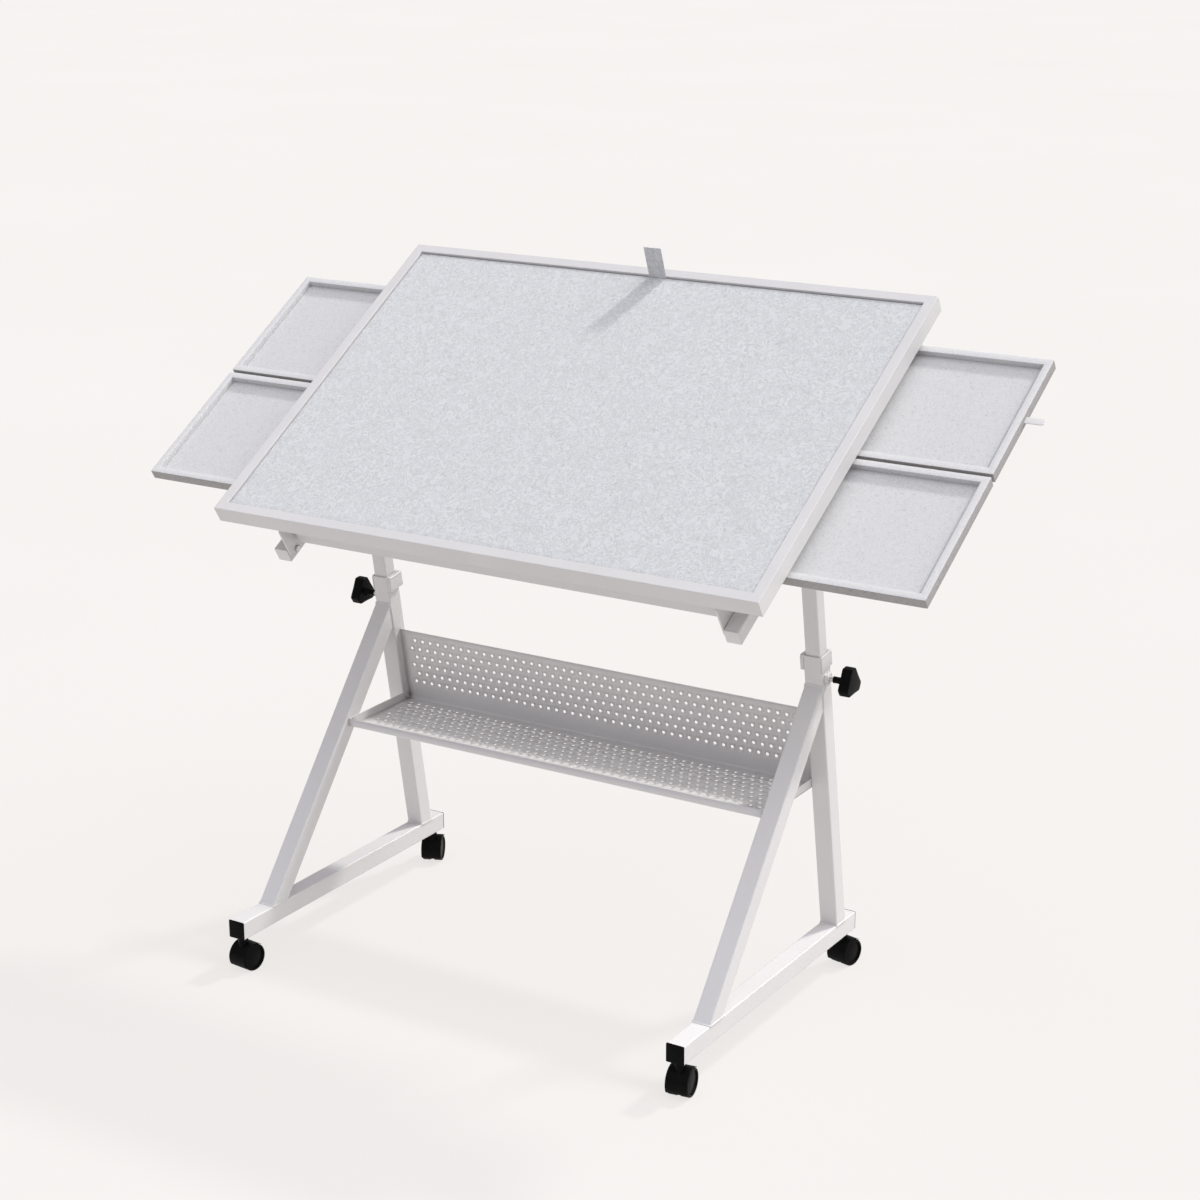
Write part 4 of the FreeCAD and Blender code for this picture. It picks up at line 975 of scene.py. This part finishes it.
class TABLE_OT_felt(TableOperator):
    """Makes the felt work surface and its lift tab"""

    bl_idname = "puzzle_table.felt"
    bl_label = "Felt"

    def make(self, sizes):
        """The felt is a grid whose height is a sum of slow sines, eased down to its cut edge."""
        low, high = reach("felt_sheet", BOARD)
        u = self.spread(low[0], high[0], 120)
        v = self.spread(low[1], high[1], 80)
        across, deep = np.meshgrid(u, v, indexing="ij")
        wave = np.sin(across * 31 + 2 * np.sin(deep * 17)) + np.sin(deep * 43 + 1.5 * np.sin(across * 23))
        near = np.min([across - low[0], high[0] - across, deep - low[1], high[1] - deep], 0)
        drop = FELT_DROP * np.clip(1 - near / FELT_EDGE, 0, 1) ** 2
        height = high[2] - sizes.felt_waviness * (0.5 + wave / 4) - drop
        top = np.stack([across, deep, height], -1)
        felt = piece("felt_sheet.laid", [self.blanket(top, low[2])], FELT, "insert")

        low, high = reach("lift_tab", BOARD)
        half = (high[0] - low[0]) / 2
        rise = np.linspace(low[2], high[2], TAB_STEPS)
        lean = np.clip(rise / high[2], 0, 1)
        sway = low[1] + TAB_THICKNESS / 2 + (high[1] - low[1] - TAB_THICKNESS) * lean ** 1.12
        offset = np.stack([np.zeros(TAB_STEPS), sway], -1)
        ring = rounded_ring(half, TAB_THICKNESS / 2, TAB_CORNER) + offset[:, None]
        tab = piece("lift_tab.strap", [placed(lifted(ring, rise), BOARD)], FELT, "insert")

    def spread(self, low, high, count):
        """Even places between two edges, with three close ones beside each edge."""
        close = FELT_EDGE * np.arange(4) / 3
        return np.concatenate([low + close, np.linspace(low, high, count)[1:-1], high - close[::-1]])

    def blanket(self, top, under):
        """A grid closed by a skirt round its border and one face below."""
        rows, columns = top.shape[:2]
        index = np.arange(rows * columns).reshape(rows, columns)
        quads = np.stack([index[:-1, :-1], index[1:, :-1], index[1:, 1:], index[:-1, 1:]], -1).reshape(-1, 4)
        border = np.concatenate([index[:-1, 0], index[-1, :-1], index[:0:-1, -1], index[0, :0:-1]])
        flat = top.reshape(-1, 3)
        hem = flat[border] * (1, 1, 0) + (0, 0, under)
        lower = rows * columns + np.arange(len(border))
        skirt = np.stack([np.roll(border, -1), border, lower, np.roll(lower, -1)], -1)
        faces = quads.tolist() + skirt.tolist() + [lower[::-1].tolist()]
        return placed(np.concatenate([flat, hem]), BOARD), faces


class TABLE_OT_trays(TableOperator):
    """Makes the four trays and the pull strip"""

    bl_idname = "puzzle_table.trays"
    bl_label = "Trays"

    def make(self, sizes):
        """A profile carried round a rounded rectangle: under side, outer wall, rim, inner wall and floor.

        Row by row from the lower edge the faces take the finish of the outer walls, the rim or the floor; the
        outer walls' finish is darker partly by the edges' own tone and partly by painted shade.
        """
        edge, rim, corner = sizes.tray_edge, sizes.tray_rim, sizes.tray_corner
        for name in TRAYS:
            low, high = reach(name, BOARD)
            inset, rise = eased(low[2], high[2], edge)
            local = (node_points(name) - BOARD[0]) @ BOARD[3]
            floor = np.unique(np.round(local, 5))[1]
            down, fall = eased(floor, high[2], edge)
            inset = np.concatenate([inset, (rim - down)[::-1], [rim + TRAY_INSET]])
            rise = np.concatenate([rise, fall[::-1], [floor]])
            round_off = np.where(inset < rim / 2, corner - inset, corner + np.maximum(rim - inset, 0))
            points = stack(low, high, round_off + inset, inset, rise, BOARD)
            tray = piece(name + ".moulded", [points], TRAY, name)
            tray.data.materials.append(FINISHES["tray rim"])
            tray.data.materials.append(FINISHES["tray wall tone and painted shade"])
            shade = np.zeros(len(tray.data.polygons), np.int32)
            shade[:RIM_ROWS * points.shape[1]] = 1
            # The lower rows, under side and outer wall, take the darker finish that carries painted shade
            shade[:WALL_ROWS * points.shape[1]] = 2
            tray.data.polygons.foreach_set("material_index", shade)
        low, high = reach("tray_pull_strip", BOARD)
        strip = stack(low, high, STRIP_CORNER, *eased(low[2], high[2], STRIP_EDGE), BOARD)
        piece("tray_pull_strip.moulded", [strip], WHITE, "tray_right_rear")


class TABLE_OT_stage(TableOperator):
    """Makes the floor, the lights and the camera"""

    bl_idname = "puzzle_table.stage"
    bl_label = "Stage"

    def make(self, sizes):
        """A pale floor in soft white light, seen from the front and right, a little above."""
        mesh = bpy.data.meshes.new("floor")
        signs = ((-1, -1), (1, -1), (1, 1), (-1, 1))
        mesh.from_pydata([(a * FLOOR_REACH, b * FLOOR_REACH, 0) for a, b in signs], [], [(0, 1, 2, 3)])
        floor = added("floor", mesh)
        pale = Finish("pale floor", 0.9)
        pale.clouded(0.6, 2.0, (0.10, 0.10, 0.10), (0.11, 0.11, 0.11))
        glow = {"Emission Color": (1.0, 0.97, 0.94, 1.0), "Emission Strength": 0.76}
        wired(pale.shader, {"Specular IOR Level": 0.0, **glow})
        mesh.materials.append(pale.material)

        self.surroundings()
        self.sun("key", 1.75, 62, (0.98, 0.99, 1.0), (0.55, 0.15, 0.82))
        self.sun("fill", 0.85, 80, (0.90, 0.93, 1.0), (0.0, -0.60, 0.80))
        self.sun("accent", 2.4, 6, (1.0, 0.98, 0.95), (0.28, 0.61, 0.75))

        lens = bpy.data.cameras.new("camera")
        lens.lens = 74.877
        lens.sensor_width = 36.0
        lens.clip_end = 200.0
        camera = added("camera", lens)
        turn = Matrix(((0.84973761, -0.15357851, 0.50434079), (0.52720204, 0.25116426, -0.81177246),
                       (-0.00200158, 0.95568308, 0.29439062)))
        camera.matrix_world = Matrix.Translation((2.0293, -3.0906, 1.7605)) @ turn.to_4x4()
        bpy.context.scene.camera = camera
        bpy.context.scene.view_settings.view_transform = "Standard"

    def surroundings(self):
        """Soft bluish light from all round; the camera sees a wall as pale as the floor."""
        world = bpy.data.worlds.new("soft light")
        bpy.context.scene.world = world
        world.use_nodes = True
        nodes = world.node_tree.nodes
        glow = wired(nodes["Background"], {"Color": (0.90, 0.89, 1.0, 1.0), "Strength": 0.40})
        wall = wired(nodes.new("ShaderNodeBackground"), {"Color": (0.93, 0.905, 0.87, 1.0)})
        seen = nodes.new("ShaderNodeLightPath").outputs["Is Camera Ray"]
        shares = {0: seen, 1: glow.outputs["Background"], 2: wall.outputs["Background"]}
        choice = wired(nodes.new("ShaderNodeMixShader"), shares)
        wired(nodes["World Output"], {"Surface": choice.outputs["Shader"]})

    def sun(self, name, energy, angle, tint, towards):
        """A sun that shines from a direction, soft by the angle it fills in degrees."""
        lamp = bpy.data.lights.new(name, "SUN")
        lamp.energy = energy
        lamp.angle = math.radians(angle)
        lamp.color = tint
        light = added(name, lamp)
        light.rotation_mode = "QUATERNION"
        light.rotation_quaternion = Vector(towards).to_track_quat("Z", "Y")


OPERATORS = (TABLE_OT_finishes, TABLE_OT_legs, TABLE_OT_collars, TABLE_OT_posts, TABLE_OT_knobs,
             TABLE_OT_casters, TABLE_OT_shelf, TABLE_OT_rails, TABLE_OT_carriers, TABLE_OT_felt,
             TABLE_OT_trays, TABLE_OT_stage)


class TABLE_PT_sidebar(Panel):
    """Lists the table's operators, sizes and colours"""

    bl_idname = "TABLE_PT_sidebar"
    bl_label = "Puzzle table"
    bl_space_type = "VIEW_3D"
    bl_region_type = "UI"
    bl_category = "Puzzle table"

    def draw(self, context):
        """One button for each operator, then the sizes and the colours."""
        for operator in OPERATORS:
            self.layout.operator(operator.bl_idname)
        for group in (context.scene.table_sizes, context.scene.table_colours):
            for name in group.__annotations__:
                self.layout.prop(group, name)


CLASSES = (TableSizes, TableColours) + OPERATORS + (TABLE_PT_sidebar,)


def register():
    """Registers the classes and the scene's two property groups."""
    for item in CLASSES:
        bpy.utils.register_class(item)
    bpy.types.Scene.table_sizes = PointerProperty(type=TableSizes)
    bpy.types.Scene.table_colours = PointerProperty(type=TableColours)


def unregister():
    """Takes away what register added."""
    del bpy.types.Scene.table_colours
    del bpy.types.Scene.table_sizes
    for item in reversed(CLASSES):
        bpy.utils.unregister_class(item)


def main():
    """Makes every piece."""
    register()
    for operator in OPERATORS:
        group, name = operator.bl_idname.split(".")
        getattr(getattr(bpy.ops, group), name)()


if __name__ == "__main__":
    main()
